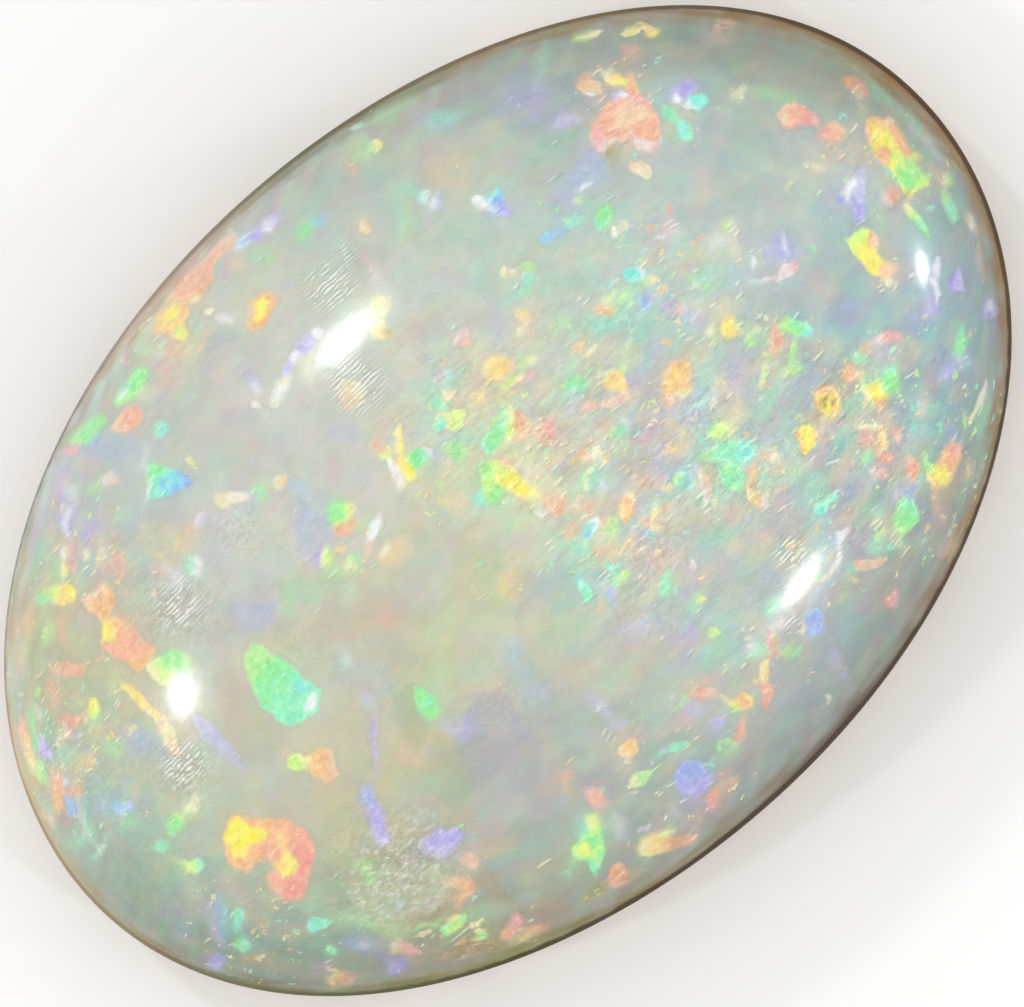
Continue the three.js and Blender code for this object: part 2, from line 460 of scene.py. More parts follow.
        (461, 891), (450, 888)], 0, "peach orange salmon", 0.75),
    "apple dash": (367, 873, 22, 10, -62, "apple green", 0.5),
    "green thread one": (365, 921, 36, 6, -22, "apple", 0.6),
    "green thread two": (392, 929, 22, 6, -40, "apple", 0.55),
    "green thread three": (405, 925, 5, 16, 5, "apple", 0.55),
    "green thread four": (430, 925, 26, 6, 8, "apple green", 0.6),
    "green wing": ([(440, 931), (448, 921), (458, 912), (467, 913), (460, 927), (449, 936),
        (442, 935)], 30, "green lime green", 0.9),
    "green wing gold": (452, 917, 13, 5, 38, "gold", 0.7),
    "star arm one": (475, 929, 12, 5, -35, "butter lime", 1.0),
    "star arm two": (486, 928, 12, 5, 55, "butter lime", 1.0),
    "star arm three": (476, 940, 14, 5, 50, "lime yellow", 1.0),
    "star arm four": (484, 941, 9, 5, -50, "green", 0.9),
    "star heart": (481, 934, 9, 9, 0, "green", 0.9),
    "coral kite": ([(500, 932), (508, 921), (517, 911), (522, 922), (514, 933), (508, 943),
        (502, 939)], 50, "orange coral pink", 0.9),
    "rust quill": (534, 931, 34, 9, 20, "ember rust ember", 0.85),
    "rust quill gold": (524, 938, 18, 3, 22, "yellow", 0.6),
    "peach seed": (396, 946, 10, 15, 10, "cream peach", 0.85),
    "coral seed": (410, 950, 22, 10, -18, "coral pink", 0.85),
    "violet hook": ([(382, 954), (392, 962), (406, 960), (405, 968), (396, 973), (388, 972),
        (389, 965)], 0, "iris violet iris", 0.9),
    "dark blue breath": (362, 945, 28, 13, 0, "blue", 0.35),
    "dark blue glint": (364, 946, 5, 6, 0, "white", 0.55),
    "olive rim": (470, 949, 70, 14, 12, "bronze", 0.8),
    # lower left middle
    "great green": ([(243, 658), (250, 641), (263, 647), (280, 659), (294, 668), (310, 682), (321, 691),
        (319, 707), (305, 720), (292, 727), (280, 722), (262, 705),
        (250, 681)], -38, "apple green mint mint", 1),
    "great green aqua": (301, 687, 12, 18, 10, "aqua", 0.25),
    "great green glint": (311, 702, 17, 11, 48, "white", 1),
    "honey ball": ([(307, 756), (318, 748), (334, 751), (336, 774), (326, 783), (315, 778),
        (306, 768)], 0, "gold orange peach", 0.85),
    "lime ball": (298, 762, 23, 18, 15, "lime lime butter", 0.95),
    "green bean": ([(413, 688), (424, 689), (436, 701), (441, 712), (434, 719), (422, 713),
        (415, 702)], -55, "green", 0.9),
    "green bean heart": (428, 703, 7, 12, 15, "mint", 0.7),
    "violet post": (374, 740, 6, 46, 2, "violet lilac", 0.75),
    "violet post cap": (366, 700, 14, 9, -20, "lilac", 0.6),
    "ring left": (325, 556, 11, 24, -8, "butter lime", 1),
    "ring right": (349, 562, 20, 8, 62, "cream lime", 0.75),
    "ring foot": (336, 570, 20, 6, 0, "apple", 0.6),
    "ring side": (358, 559, 8, 14, 0, "mint", 0.5),
    "salmon breath": (386, 617, 22, 16, 0, "coral", 0.3),
    "green breath two": (290, 596, 14, 34, 0, "green", 0.2),
    "lilac breath": (268, 607, 13, 17, 0, "violet", 0.3),
    "blue breath three": (254, 615, 30, 30, 0, "blue", 0.2),
    "mint grain": (345, 663, 10, 6, 30, "mint white", 0.6),
    "violet smudge": (459, 728, 28, 13, 22, "lilac violet", 0.6),
    "peach breath": (413, 756, 18, 16, 0, "salmon", 0.35),
    "peach breath two": (432, 738, 24, 10, -10, "salmon", 0.2),
    "white quill": (374, 529, 30, 8, 62, "white white", 0.9),
    "white quill foot": (368, 550, 7, 14, -5, "peach", 0.6),
    "white quill side": (362, 525, 10, 10, 0, "apple", 0.5),
    "gold shell": ([(379, 556), (389, 545), (399, 538), (411, 540), (406, 552), (395, 561),
        (383, 563)], 30, "gold gold peach", 0.55),
    "gold shell lip": (386, 550, 20, 5, 45, "cream", 0.8),
    "gold brow": (452, 503, 24, 15, 0, "gold peach", 0.5),
    "tan mirror": (510, 586, 18, 30, -20, "gold orange", 0.35),
    # middle left
    "lime eye": ([(326, 512), (331, 503), (343, 500), (353, 505), (357, 512), (350, 520), (336, 525),
        (328, 520)], 0, "green green lime butter", 0.95),
    "lime eye lid": (346, 527, 28, 12, 22, "salmon orange", 0.7),
    "vee left arm": (399, 441, 8, 40, 3, "butter yellow", 0.9),
    "vee left fleck": (385, 453, 14, 17, 20, "lime butter", 0.9),
    "vee point": ([(396, 458), (404, 456), (414, 468), (417, 476), (410, 481),
        (402, 474)], -60, "gold yellow yellow", 1),
    "vee right arm": ([(405, 462), (410, 452), (421, 449), (426, 458), (424, 466),
        (415, 470)], 10, "lime green green mint", 1),
    "vee pale side": (395, 472, 32, 9, -60, "white blush", 0.85),
    "vee tip": (402, 484, 8, 13, -10, "cream", 0.85),
    "vee shoulder": (376, 446, 15, 17, 20, "peach salmon", 0.6),
    "lilac crumb two": (430, 452, 10, 11, 0, "white lilac", 0.7),
    "green strokes": ([(439, 449), (450, 440), (465, 445), (469, 455), (460, 463),
        (447, 456)], -20, "apple green apple", 0.75),
    "gold ring": (452, 420, 27, 21, -10, "butter lime", 0.95),
    "cream dash": (450, 395, 20, 12, 5, "cream peach", 0.75),
    "mint dot one": (439, 405, 13, 13, 0, "mint", 0.7),
    "mint dot two": (440, 426, 11, 12, 0, "mint aqua", 0.75),
    "salmon dot": (463, 338, 22, 15, -15, "blush salmon", 0.7),
    "peach quilt": ([(481, 373), (485, 362), (497, 355), (513, 357), (516, 368), (505, 378),
        (490, 381)], 0, "butter gold gold peach", 0.9),
    "peach quilt hem": (512, 381, 30, 8, 28, "lime butter", 0.75),
    "lime strokes": (528, 361, 18, 8, 20, "lime cream", 0.7),
    "aqua bowl": (482, 498, 24, 12, 5, "aqua mint", 0.9),
    "blue breath four": (298, 491, 17, 14, 0, "sky", 0.4),
    "lilac breath two": (348, 431, 22, 26, 0, "violet", 0.2),
    "lilac breath three": (312, 535, 34, 60, 5, "violet", 0.22),
    "salmon weave": (351, 394, 32, 24, 35, "peach butter", 0.7),
    "mint grain two": (257, 405, 9, 8, 0, "white cream", 0.9),
    "mint grain three": (449, 375, 8, 9, 0, "white aqua", 0.6),
    "amber grain": (481, 397, 9, 11, 0, "gold", 0.7),
    # middle
    "green crest": ([(478, 446), (484, 438), (494, 426), (502, 405), (508, 409), (505, 430), (501, 444),
        (489, 453)], 60, "mint green mint apple", 0.9),
    "gold crest": ([(506, 402), (513, 410), (515, 425), (513, 439), (506, 446),
        (505, 430)], 90, "butter lime butter", 0.9),
    "amber crest": ([(513, 411), (521, 410), (530, 425), (531, 438), (516, 441),
        (511, 425)], 0, "orange peach", 0.9),
    "salmon bridge": (538, 428, 20, 14, 0, "peach", 0.6),
    "salmon crest": ([(540, 433), (545, 420), (553, 417), (557, 429), (551, 441),
        (542, 439)], 0, "salmon pink", 0.9),
    "mint scarf": ([(480, 464), (494, 468), (504, 483), (501, 500), (488, 504),
        (481, 490)], -60, "green lime green", 0.9),
    "lime scarf": ([(488, 462), (500, 459), (513, 470), (526, 480), (541, 492), (545, 501),
        (534, 503), (519, 496), (504, 486), (493, 476)], -38, "lime yellow yellow butter", 1),
    "amber scarf": (509, 462, 22, 9, -20, "peach peach", 0.6),
    "mint scarf hem": (536, 508, 22, 8, -42, "apple white", 0.75),
    "salmon scarf": ([(545, 499), (555, 492), (568, 497), (566, 511), (556, 516),
        (548, 509)], 0, "peach salmon", 0.8),
    "salmon scarf two": (585, 505, 22, 13, 0, "peach salmon", 0.55),
    "scarf line one": (531, 477, 30, 3, -50, "cream", 0.7),
    "scarf line two": (539, 473, 26, 3, -52, "butter", 0.6),
    "scarf line three": (546, 480, 20, 3, -55, "cream", 0.6),
    "aqua stamp": ([(583, 536), (585, 523), (593, 517), (600, 521), (596, 531),
        (590, 541)], 70, "sky aqua white", 1),
    "aqua stamp foot": (583, 545, 11, 15, 0, "aqua", 0.45),
    "cream strokes": (598, 536, 9, 7, -20, "cream", 0.6),
    "peach stroke": (572, 533, 9, 19, -10, "peach orange", 0.6),
    "green stroke": (588, 478, 10, 26, -15, "apple cream mint", 0.85),
    "salmon twins": (584, 455, 12, 14, 0, "peach", 0.75),
    "cream twins": (595, 453, 10, 18, -10, "cream", 0.8),
    "peach twins": (606, 459, 11, 13, 0, "gold peach", 0.7),
    "honey drop": ([(620, 506), (621, 495), (634, 490), (638, 501), (633, 515), (626, 525),
        (619, 516)], 60, "gold orange cream", 0.9),
    "green drop": (612, 526, 14, 22, -15, "apple", 0.7),
    "pink grain": (643, 508, 9, 10, 0, "pink lilac", 0.6),
    "lemon grain": (655, 510, 8, 16, -15, "butter", 0.85),
    "peach grain": (645, 521, 15, 10, -20, "peach salmon", 0.8),
    "cream grain": (655, 525, 14, 10, -10, "cream gold", 0.8),
    "salmon mist": (650, 483, 22, 24, 0, "salmon", 0.35),
    "green grain": (680, 477, 12, 16, -20, "apple mint", 0.75),
    "pink needle": (705, 485, 9, 34, 8, "blush peach", 0.8),
    "aqua needle": (692, 480, 6, 20, 5, "aqua white", 0.5),
    "tan curl": (631, 544, 24, 12, 60, "gold peach", 0.45),
    "tan curl foot": (608, 552, 28, 7, 8, "salmon", 0.5),
    "mint leaf": ([(601, 563), (611, 560), (620, 566), (618, 573),
        (608, 571)], -20, "mint aqua mint", 0.85),
    "mint tall": ([(578, 579), (583, 575), (592, 589), (593, 600), (586, 607),
        (581, 592)], -70, "aqua mint mint", 0.9),
    "lime slash": (621, 580, 24, 7, 48, "aqua apple lime", 0.85),
    "lilac slash": (612, 595, 11, 17, 0, "sky lilac lilac", 0.75),
    "mint slash": (606, 583, 12, 5, 35, "white mint", 0.6),
    "green tear": ([(657, 592), (661, 579), (668, 568), (672, 580), (669, 593),
        (662, 599)], 75, "mint mint mint", 0.85),
    "green crumb": (696, 601, 9, 15, -15, "mint apple", 0.6),
    "blush crumb": (691, 566, 7, 9, 0, "blush", 0.8),
    "rust crumb": (656, 563, 6, 20, -10, "salmon", 0.4),
    "lilac cloud": ([(612, 633), (625, 624), (646, 618), (651, 625), (640, 635),
        (622, 637)], 10, "haze lilac", 0.6),
    "lilac cloud two": (688, 632, 16, 10, 0, "violet", 0.45),
    "blue breath five": (513, 655, 24, 42, 5, "sky", 0.2),
    "salmon breath two": (580, 670, 24, 22, 0, "coral", 0.15),
    "lilac breath four": (536, 692, 19, 14, 0, "blue", 0.35),
    # upper middle
    "aqua lozenge": ([(624, 275), (628, 267), (640, 265), (646, 271), (638, 280),
        (628, 283)], 0, "aqua aqua white", 1),
    "peach lozenge": (650, 280, 16, 8, 0, "lime cream peach", 0.9),
    "peach wing": ([(592, 306), (600, 303), (612, 303), (619, 310), (605, 316),
        (597, 313)], 0, "peach orange butter", 0.85),
    "green quill one": (609, 297, 22, 5, 40, "cream apple", 0.8),
    "green quill two": (621, 300, 18, 4, 50, "apple lime", 0.8),
    "blue cloth": ([(637, 299), (648, 291), (657, 294), (652, 306), (643, 313)], 30, "sky blue lilac", 0.7),
    "teal cloth": (605, 325, 30, 17, 15, "aqua", 0.35),
    "salmon cloth": (681, 308, 17, 14, 0, "pink blush", 0.7),
    "cream cloth": (697, 302, 14, 6, -20, "cream", 0.5),
    "lilac cloth": (691, 315, 17, 6, -30, "lilac", 0.55),
    "gold boot": ([(512, 310), (521, 307), (530, 312), (531, 324), (524, 331),
        (519, 319)], -45, "butter gold peach", 0.8),
    "cream boot": (521, 331, 9, 8, 0, "cream", 0.85),
    "peach boot": (532, 307, 8, 12, 0, "peach", 0.5),
    "mint curl": (527, 281, 7, 22, -18, "aqua mint", 0.75),
    "lime curl": (529, 266, 16, 7, -10, "apple", 0.7),
    "pale pair": (504, 273, 7, 10, 0, "cream", 0.7),
    "pale pair two": (514, 272, 8, 9, 0, "cream", 0.7),
    "green tent": (562, 322, 14, 16, 0, "apple", 0.6),
    "cream vee": (580, 347, 14, 9, 15, "peach gold", 0.7),
    "cream vee two": (592, 352, 22, 5, 45, "butter cream", 0.8),
    "green roost": ([(565, 388), (570, 378), (583, 376), (586, 386),
        (575, 391)], 20, "green mint green", 0.75),
    "mint roost": (572, 365, 14, 6, 50, "mint", 0.5),
    "amber hood": ([(605, 384), (611, 370), (622, 371), (629, 384), (631, 398), (619, 393),
        (608, 391)], -40, "gold gold peach", 0.9),
    "amber hood brim": (607, 373, 20, 4, 35, "cream", 0.7),
    "rose hood": (613, 402, 26, 12, 12, "peach pink", 0.75),
    "peach hood": (590, 406, 18, 12, -10, "peach salmon", 0.65),
    "amber tile": ([(661, 386), (662, 371), (671, 363), (685, 361), (689, 374), (691, 390), (683, 398),
        (672, 396), (665, 401)], -60, "orange gold orange butter", 0.95),
    "rose tile": (670, 402, 12, 18, 0, "peach orange", 0.7),
    "aqua brush": (703, 404, 28, 7, 22, "aqua white", 0.7),
    "lilac brush": (690, 415, 22, 9, 10, "blue", 0.35),
    "mint speck": (623, 422, 9, 11, 0, "mint white", 0.6),
    "tan speck two": (640, 418, 9, 12, 0, "peach", 0.5),
    "lilac speck": (658, 454, 17, 24, 0, "violet", 0.3),
    "white speck": (604, 486, 9, 10, 0, "white lilac", 0.7),
    "aqua speck": (545, 405, 10, 9, 0, "mint", 0.35),
    # top
    "rim reed": (588, 36, 26, 7, 13, "lime butter", 0.95),
    "rim moth": (630, 31, 17, 9, 10, "butter yellow", 0.9),
    "rim moth two": (648, 30, 21, 9, -18, "gold yellow", 0.9),
    "rim hoop": (716, 29, 6, 14, -20, "pink", 0.6),
    "rim hoop two": (724, 24, 14, 5, -20, "salmon", 0.6),
    "umber bead": (631, 52, 17, 14, 0, "salmon", 0.5),
    "ragged amber": (588, 87, 26, 19, 5, "orange peach", 0.8),
    "ragged white": (590, 95, 9, 5, 0, "white", 0.7),
    "ragged gold": ([(601, 73), (612, 70), (620, 75), (627, 83), (620, 88), (611, 86),
        (604, 81)], -30, "cream gold yellow", 0.95),
    "ragged rust": (634, 88, 13, 26, 20, "salmon orange", 0.85),
    "great salmon": ([(607, 101), (622, 97), (641, 93), (651, 103), (658, 118), (661, 138), (651, 151),
        (641, 150), (630, 141), (615, 141), (606, 152), (595, 150), (589, 136),
        (597, 118)], -90, "pink salmon salmon salmon blush", 0.95),
    "great salmon heart": (628, 116, 34, 26, 20, "peach", 0.4),
    "great salmon tail": (620, 150, 30, 18, 0, "tan peach", 0.4),
    "great salmon lip": (598, 138, 10, 26, -15, "pink", 0.6),
    "blush fold": (620, 95, 17, 8, -5, "lilac white", 0.85),
    "blush tuck": (649, 144, 13, 12, -30, "blush pink", 0.7),
    "bronze tuck": (614, 155, 13, 14, 0, "olive", 0.5),
    "peach tuck": ([(629, 164), (641, 160), (652, 172), (650, 178), (639, 177)], -40, "peach cream", 0.85),
    "violet fold": ([(667, 98), (675, 87), (689, 80), (699, 88), (690, 95),
        (680, 101)], 20, "lilac violet violet", 0.95),
    "violet fold glint": (677, 97, 7, 10, 0, "white", 0.8),
    "aqua fold": ([(681, 104), (690, 97), (705, 93), (708, 102), (696, 109)], 10, "white aqua aqua", 1),
    "mint fold": (669, 113, 17, 13, -20, "mint", 0.8),
    "mint fold two": ([(674, 118), (687, 120), (694, 134), (688, 141), (680, 138),
        (677, 128)], -50, "mint aqua mint", 0.95),
    "cream bead": (739, 93, 11, 10, 0, "cream", 0.6),
    "coral wing": ([(777, 118), (784, 106), (795, 102), (810, 110), (821, 118), (816, 126), (798, 124),
        (785, 127)], -20, "peach salmon coral pink", 0.9),
    "coral wing two": ([(817, 136), (824, 126), (838, 121), (847, 128), (842, 138),
        (828, 145)], 20, "coral salmon peach", 0.85),
    "coral wing mist": (838, 152, 34, 16, 0, "salmon", 0.25),
    "pale arc": (788, 173, 44, 4, -18, "cream", 0.2),
    "pale arc two": (815, 166, 22, 5, 8, "cream", 0.55),
    "green breath three": (775, 95, 38, 11, 0, "green", 0.25),
    "violet pool": ([(756, 241), (774, 236), (790, 240), (798, 255), (786, 262),
        (765, 259)], 0, "haze violet blue", 0.5),
    "violet pool glint": (785, 243, 6, 20, 8, "white violet", 0.7),
    "rose petal": (669, 230, 21, 14, 0, "pink blush", 0.5),
    "white petal": (661, 239, 9, 5, 0, "white", 0.7),
    "lime petal": (729, 227, 10, 15, 0, "lime cream", 0.55),
    "white strokes": (721, 241, 16, 5, 30, "white", 0.6),
    "white strokes two": (733, 245, 6, 10, 0, "cream", 0.55),
    "blue sill": ([(540, 238), (552, 230), (562, 227), (566, 232), (552, 241),
        (543, 243)], 30, "sky sky blue", 0.8),
    "aqua sill": (574, 222, 22, 7, 22, "aqua mint", 0.75),
    "green sill": ([(594, 225), (598, 210), (607, 204), (613, 215), (607, 227),
        (599, 232)], 80, "mint green green", 0.85),
    "cream sill": (613, 231, 6, 14, -5, "cream white", 0.95),
    "blue pool": (588, 172, 40, 36, 30, "blue", 0.38),
    "white brook": (585, 187, 18, 5, 28, "white", 0.9),
    "lilac brook": (566, 197, 14, 14, 20, "violet", 0.5),
    "lime brook": (578, 199, 9, 9, 0, "butter apple", 0.8),
    "violet haze": (520, 95, 50, 34, -10, "violet", 0.22),
    "violet haze drop": (538, 84, 9, 11, 0, "lilac", 0.55),
    "violet haze foot": (534, 108, 11, 24, -5, "violet", 0.35),
    "violet haze wing": (568, 120, 28, 14, 15, "lilac", 0.6),
    "green teal haze": (541, 60, 24, 22, 0, "mint", 0.18),
    # right
    "amber wedge": ([(844, 240), (855, 233), (868, 227), (874, 236), (876, 252), (882, 262), (893, 264),
        (895, 274), (888, 280), (878, 276), (867, 270), (856, 257)], -50, "lime yellow yellow orange", 1),
    "amber wedge side": (872, 240, 9, 24, 0, "orange peach", 0.8),
    "amber wedge foot": (888, 270, 15, 13, 0, "peach", 0.85),
    "amber wedge tail": (889, 282, 16, 7, -15, "cream", 0.7),
    "coral sliver": ([(775, 275), (784, 262), (796, 261), (798, 270), (790, 277),
        (776, 281)], 10, "blush blush pink", 0.85),
    "coral sliver hem": (765, 279, 24, 4, 12, "white blush", 0.7),
    "white dash": (753, 263, 5, 14, 5, "white", 0.7),
    "green hoop": (697, 277, 20, 5, 5, "apple mint", 0.55),
    "green hoop two": (699, 284, 20, 5, -6, "white apple", 0.75),
    "gold star": ([(721, 322), (730, 314), (738, 324), (746, 331), (735, 337), (725, 339),
        (720, 331)], -20, "gold yellow gold butter", 0.95),
    "gold star ray": (748, 331, 22, 6, -28, "apple mint", 0.5),
    "gold star ray two": (751, 341, 14, 12, 0, "apple", 0.65),
    "gold star ray three": (711, 331, 9, 15, -15, "cream apple", 0.7),
    "gold star ray four": (722, 311, 6, 12, 25, "butter", 0.6),
    "salmon lamp": ([(767, 336), (775, 326), (783, 334), (783, 348), (776, 356),
        (768, 348)], 90, "peach coral salmon", 0.8),
    "green kerb": ([(779, 327), (790, 318), (805, 320), (813, 330), (806, 339),
        (793, 336)], -15, "lime green mint aqua", 0.95),
    "green kerb stem": (792, 352, 6, 32, -12, "apple green", 0.8),
    "green kerb foot": (795, 366, 12, 12, 0, "apple", 0.6),
    "lemon stick": (764, 374, 6, 20, -10, "cream lime", 0.85),
    "striped disc": ([(814, 396), (821, 388), (832, 387), (841, 397), (842, 408), (834, 418), (821, 417),
        (814, 407)], 0, "orange gold", 0.95),
    "striped disc gold": (827, 403, 20, 22, 60, "yellow yellow gold", 0.95),
    "disc stripe one": (822, 402, 15, 2.2, 62, "bronze", 0.5),
    "disc stripe two": (827, 403, 19, 2.4, 62, "bronze", 0.75),
    "disc stripe three": (833, 405, 14, 2, 62, "bronze", 0.65),
    "gold heart": ([(796, 433), (803, 423), (815, 427), (819, 437), (812, 447), (803, 456),
        (797, 446)], 0, "orange yellow yellow gold", 1),
    "gold heart side": (822, 429, 16, 12, 10, "peach", 0.6),
    "lime bud": ([(707, 432), (715, 420), (727, 421), (736, 430), (726, 438),
        (711, 439)], 0, "apple lime butter", 0.85),
    "sea thicket": ([(700, 452), (714, 447), (728, 441), (742, 440), (755, 448), (752, 460), (736, 465),
        (716, 461), (702, 459)], 0, "apple mint mint aqua", 0.9),
    "sea thicket heart": (744, 452, 18, 15, 20, "aqua", 0.9),
    "green thicket": ([(719, 466), (738, 463), (746, 480), (741, 492), (730, 491),
        (721, 482)], -70, "green mint green", 0.85),
    "peach thicket": (750, 479, 9, 24, -10, "peach orange", 0.8),
    "amber thicket": (756, 500, 22, 14, -35, "butter gold peach", 0.85),
    "rose thicket": (769, 501, 10, 10, 0, "blush", 0.2),
    "peach tail": (770, 456, 18, 10, 10, "peach cream", 0.65),
    "coral lamp": ([(842, 375), (845, 365), (855, 363), (859, 377), (852, 383),
        (845, 381)], -40, "orange salmon", 0.85),
    "gold rail": (863, 386, 36, 5, -62, "butter lime", 0.85),
    "gold rail bowl": ([(861, 392), (871, 384), (882, 381), (887, 394), (878, 405),
        (867, 402)], 0, "butter yellow yellow", 1),
    "amber rail bowl": (880, 404, 17, 9, 0, "orange", 0.8),
    "green rail": ([(882, 386), (882, 371), (894, 362), (899, 374), (897, 388),
        (888, 393)], -80, "mint green green", 0.95),
    "coral brow": ([(875, 340), (885, 332), (898, 332), (903, 341), (889, 343),
        (879, 345)], 0, "blush coral pink", 0.85),
    "lilac brow": (887, 352, 15, 12, 0, "lilac aqua", 0.45),
    "mint brow": (860, 357, 15, 10, -10, "mint", 0.8),
    "cream gate": (869, 428, 20, 7, 5, "butter cream", 0.85),
    "salmon gate": (867, 440, 16, 15, 0, "pink salmon", 0.65),
    "amber gate": (882, 439, 12, 18, 0, "gold", 0.75),
    "coral gate": (897, 434, 13, 20, 0, "salmon pink", 0.7),
    "amber gate foot": (875, 449, 18, 8, -25, "peach orange", 0.75),
    "mint gate": (868, 458, 11, 15, -10, "apple mint", 0.75),
    "coral gate foot": (886, 456, 17, 11, 0, "salmon coral", 0.8),
    "coral gate step": (880, 473, 17, 12, 0, "blush pink peach", 0.75),
    "salmon flame": ([(905, 461), (912, 452), (919, 462), (921, 475), (913, 482),
        (906, 474)], 90, "salmon coral peach", 0.85),
    "great flame": ([(929, 471), (937, 462), (945, 448), (953, 440), (963, 447), (958, 462), (955, 478),
        (946, 487), (935, 486), (927, 479)], 60, "gold yellow orange orange salmon", 1),
    "great flame gold": (938, 474, 26, 9, -32, "lime yellow yellow", 0.9),
    "great flame green": (928, 462, 24, 6, -68, "apple green", 0.85),
    "great flame tail": (937, 500, 9, 34, 6, "salmon", 0.5),
    "violet tooth": ([(945, 289), (950, 278), (956, 267), (963, 279), (963, 292),
        (951, 293)], 0, "iris violet lilac", 0.9),
    "violet tooth two": ([(981, 313), (985, 299), (993, 299), (999, 313), (992, 319),
        (984, 318)], 0, "iris", 0.8),
    "violet tooth glint": (989, 306, 6, 11, 0, "white", 0.4),
    # the lilac arc and its foot, beside the right lamp's reflection, are a painted reflection of the lamp's
    # rim
    "lilac arc": (937, 278, 8, 44, 5, "lilac white lilac", 0.75),
    "lilac arc foot": (932, 306, 14, 18, 10, "lilac violet", 0.55),
    "green blade": ([(903, 204), (910, 203), (919, 213), (928, 228), (928, 238), (921, 232),
        (912, 218)], -58, "butter lime mint green", 0.95),
    "green blade two": ([(939, 188), (946, 192), (953, 206), (959, 222), (955, 227), (947, 216),
        (941, 203)], -62, "apple mint mint green", 0.9),
    "cream blade head": (945, 180, 10, 9, 0, "cream lime", 0.85),
    "peach blade head": (936, 172, 11, 7, -20, "peach", 0.6),
    "violet banner": ([(840, 198), (845, 184), (852, 174), (863, 169), (866, 184), (863, 203), (864, 221),
        (853, 221), (849, 205)], -80, "lilac lilac violet violet", 0.85),
    "violet banner white": (848, 191, 20, 7, 68, "white", 0.7),
    "violet banner white two": (853, 183, 10, 6, 0, "white", 1),
    "blue banner": (841, 200, 8, 12, 20, "blue", 0.7),
    "coral tab": ([(879, 200), (887, 190), (898, 189), (903, 198), (895, 204),
        (884, 205)], 0, "blush coral salmon", 0.8),
    "long fire": ([(865, 118), (874, 116), (886, 118), (897, 130), (906, 145), (910, 158), (918, 166),
        (927, 178), (928, 188), (919, 190), (910, 197), (900, 190), (893, 172), (882, 159), (872, 146),
        (866, 131)], -52, "orange gold yellow yellow lime green lime", 1),
    "long fire gold": ([(870, 122), (878, 125), (888, 137), (898, 152), (904, 164), (896, 163), (884, 150),
        (874, 138)], -52, "yellow yellow lime", 1),
    "long fire amber": ([(883, 117), (893, 118), (905, 138), (913, 154), (906, 160), (897, 147),
        (889, 132)], -58, "peach orange orange", 0.95),
    "long fire green": ([(903, 166), (914, 168), (925, 179), (918, 189), (906, 190),
        (902, 178)], -45, "lime green lime", 0.9),
    "long fire hem": (906, 195, 20, 7, 15, "bronze gold", 0.45),
    "long fire ember": (884, 156, 14, 17, 20, "orange", 0.75),
    "long fire crumb": (915, 155, 7, 7, 0, "yellow", 0.8),
    "rust bar": ([(842, 77), (850, 75), (862, 83), (868, 92), (864, 99), (855, 94),
        (846, 87)], -40, "rust coral", 0.8),
    "cream bar": (857, 68, 22, 4, -42, "tan", 0.5),
    "cream bar two": (859, 102, 20, 5, -62, "cream peach", 0.35),
    "rim needle": (904, 113, 66, 4.5, -44, "mint sage mint white", 0.6),
    "violet chip": ([(940, 380), (943, 368), (955, 362), (956, 369), (949, 378)], 50, "lilac violet", 0.85),
    "green spear": ([(955, 335), (960, 327), (966, 339), (966, 351), (960, 359),
        (954, 350)], 90, "mint green mint", 0.95),
    "green spear tip": (958, 326, 5, 8, 0, "mint", 0.3),
    "green spear foot": (962, 360, 7, 4, -30, "white", 0.6),
    "straw wick": (972, 225, 16, 5, -70, "cream", 0.8),
    "rim blue": (987, 250, 6, 15, -5, "sky", 0.4),
    "rim rose": (982, 262, 4, 38, 5, "salmon", 0.35),
    "pale spear": (979, 403, 44, 6, 66, "butter cream blush", 0.85),
    "green spear mist": (983, 420, 38, 9, 72, "green", 0.3),
    "rim amber": ([(943, 556), (946, 540), (955, 525), (961, 522), (958, 538),
        (950, 556)], 60, "orange bronze", 0.6),
    "rim amber two": (968, 471, 8, 19, -8, "orange peach", 0.6),
    "rim cream": (975, 487, 5, 7, 0, "cream", 0.8),
    "violet breath": (951, 431, 15, 12, 0, "violet", 0.35),
    "mint mote": (927, 408, 11, 8, 0, "white mint", 0.6),
    "great leaf": ([(892, 520), (897, 505), (905, 495), (915, 499), (919, 514), (912, 529), (902, 538),
        (894, 531)], 70, "apple green green mint", 0.95),
    "blue leaf": (907, 489, 20, 14, 0, "blue", 0.45),
    "aqua pair": ([(813, 512), (818, 502), (827, 499), (830, 506), (823, 514),
        (817, 516)], 20, "aqua mint", 0.95),
    "mint pair": (832, 497, 15, 12, 15, "mint aqua", 0.8),
    # the white arc (arc head, upper, middle and lower), beside the lower right lamp's reflection, is a
    # painted reflection of the lamp's rim
    "arc head": (844, 533, 15, 11, 10, "white blush", 0.85),
    "arc shade": (857, 540, 24, 24, 0, "mauve", 0.45),
    "arc upper": (839, 550, 6, 24, -6, "white", 0.8),
    "arc middle": (832, 568, 24, 5, 62, "cream white", 0.8),
    "arc lower": (819, 590, 32, 5, 52, "white sky", 0.6),
    "wheat hoop": ([(804, 551), (814, 543), (824, 550), (826, 558), (816, 556),
        (809, 552)], 0, "straw", 0.3),
    "blue plume": ([(807, 613), (817, 607), (826, 618), (824, 632), (813, 636),
        (805, 625)], -70, "sky blue blue", 0.8),
    "blue plume glint": (815, 630, 9, 5, 30, "sky", 0.6),
    "mint plume": (773, 605, 17, 15, 0, "mint", 0.6),
    "jade stars": (873, 546, 13, 13, 0, "mint aqua", 0.6),
    "cream stars": (898, 543, 14, 5, -30, "cream", 0.6),
    "rust rail": (869, 563, 30, 12, 0, "salmon peach salmon", 0.7),
    "coral pearl": (893, 598, 13, 15, 0, "coral pink", 0.9),
    "mint pearl two": (849, 570, 8, 14, -10, "mint", 0.55),
    "coral root": (773, 644, 11, 28, 3, "pink coral", 0.7),
    "coral root head": (778, 625, 10, 12, 0, "blush", 0.6),
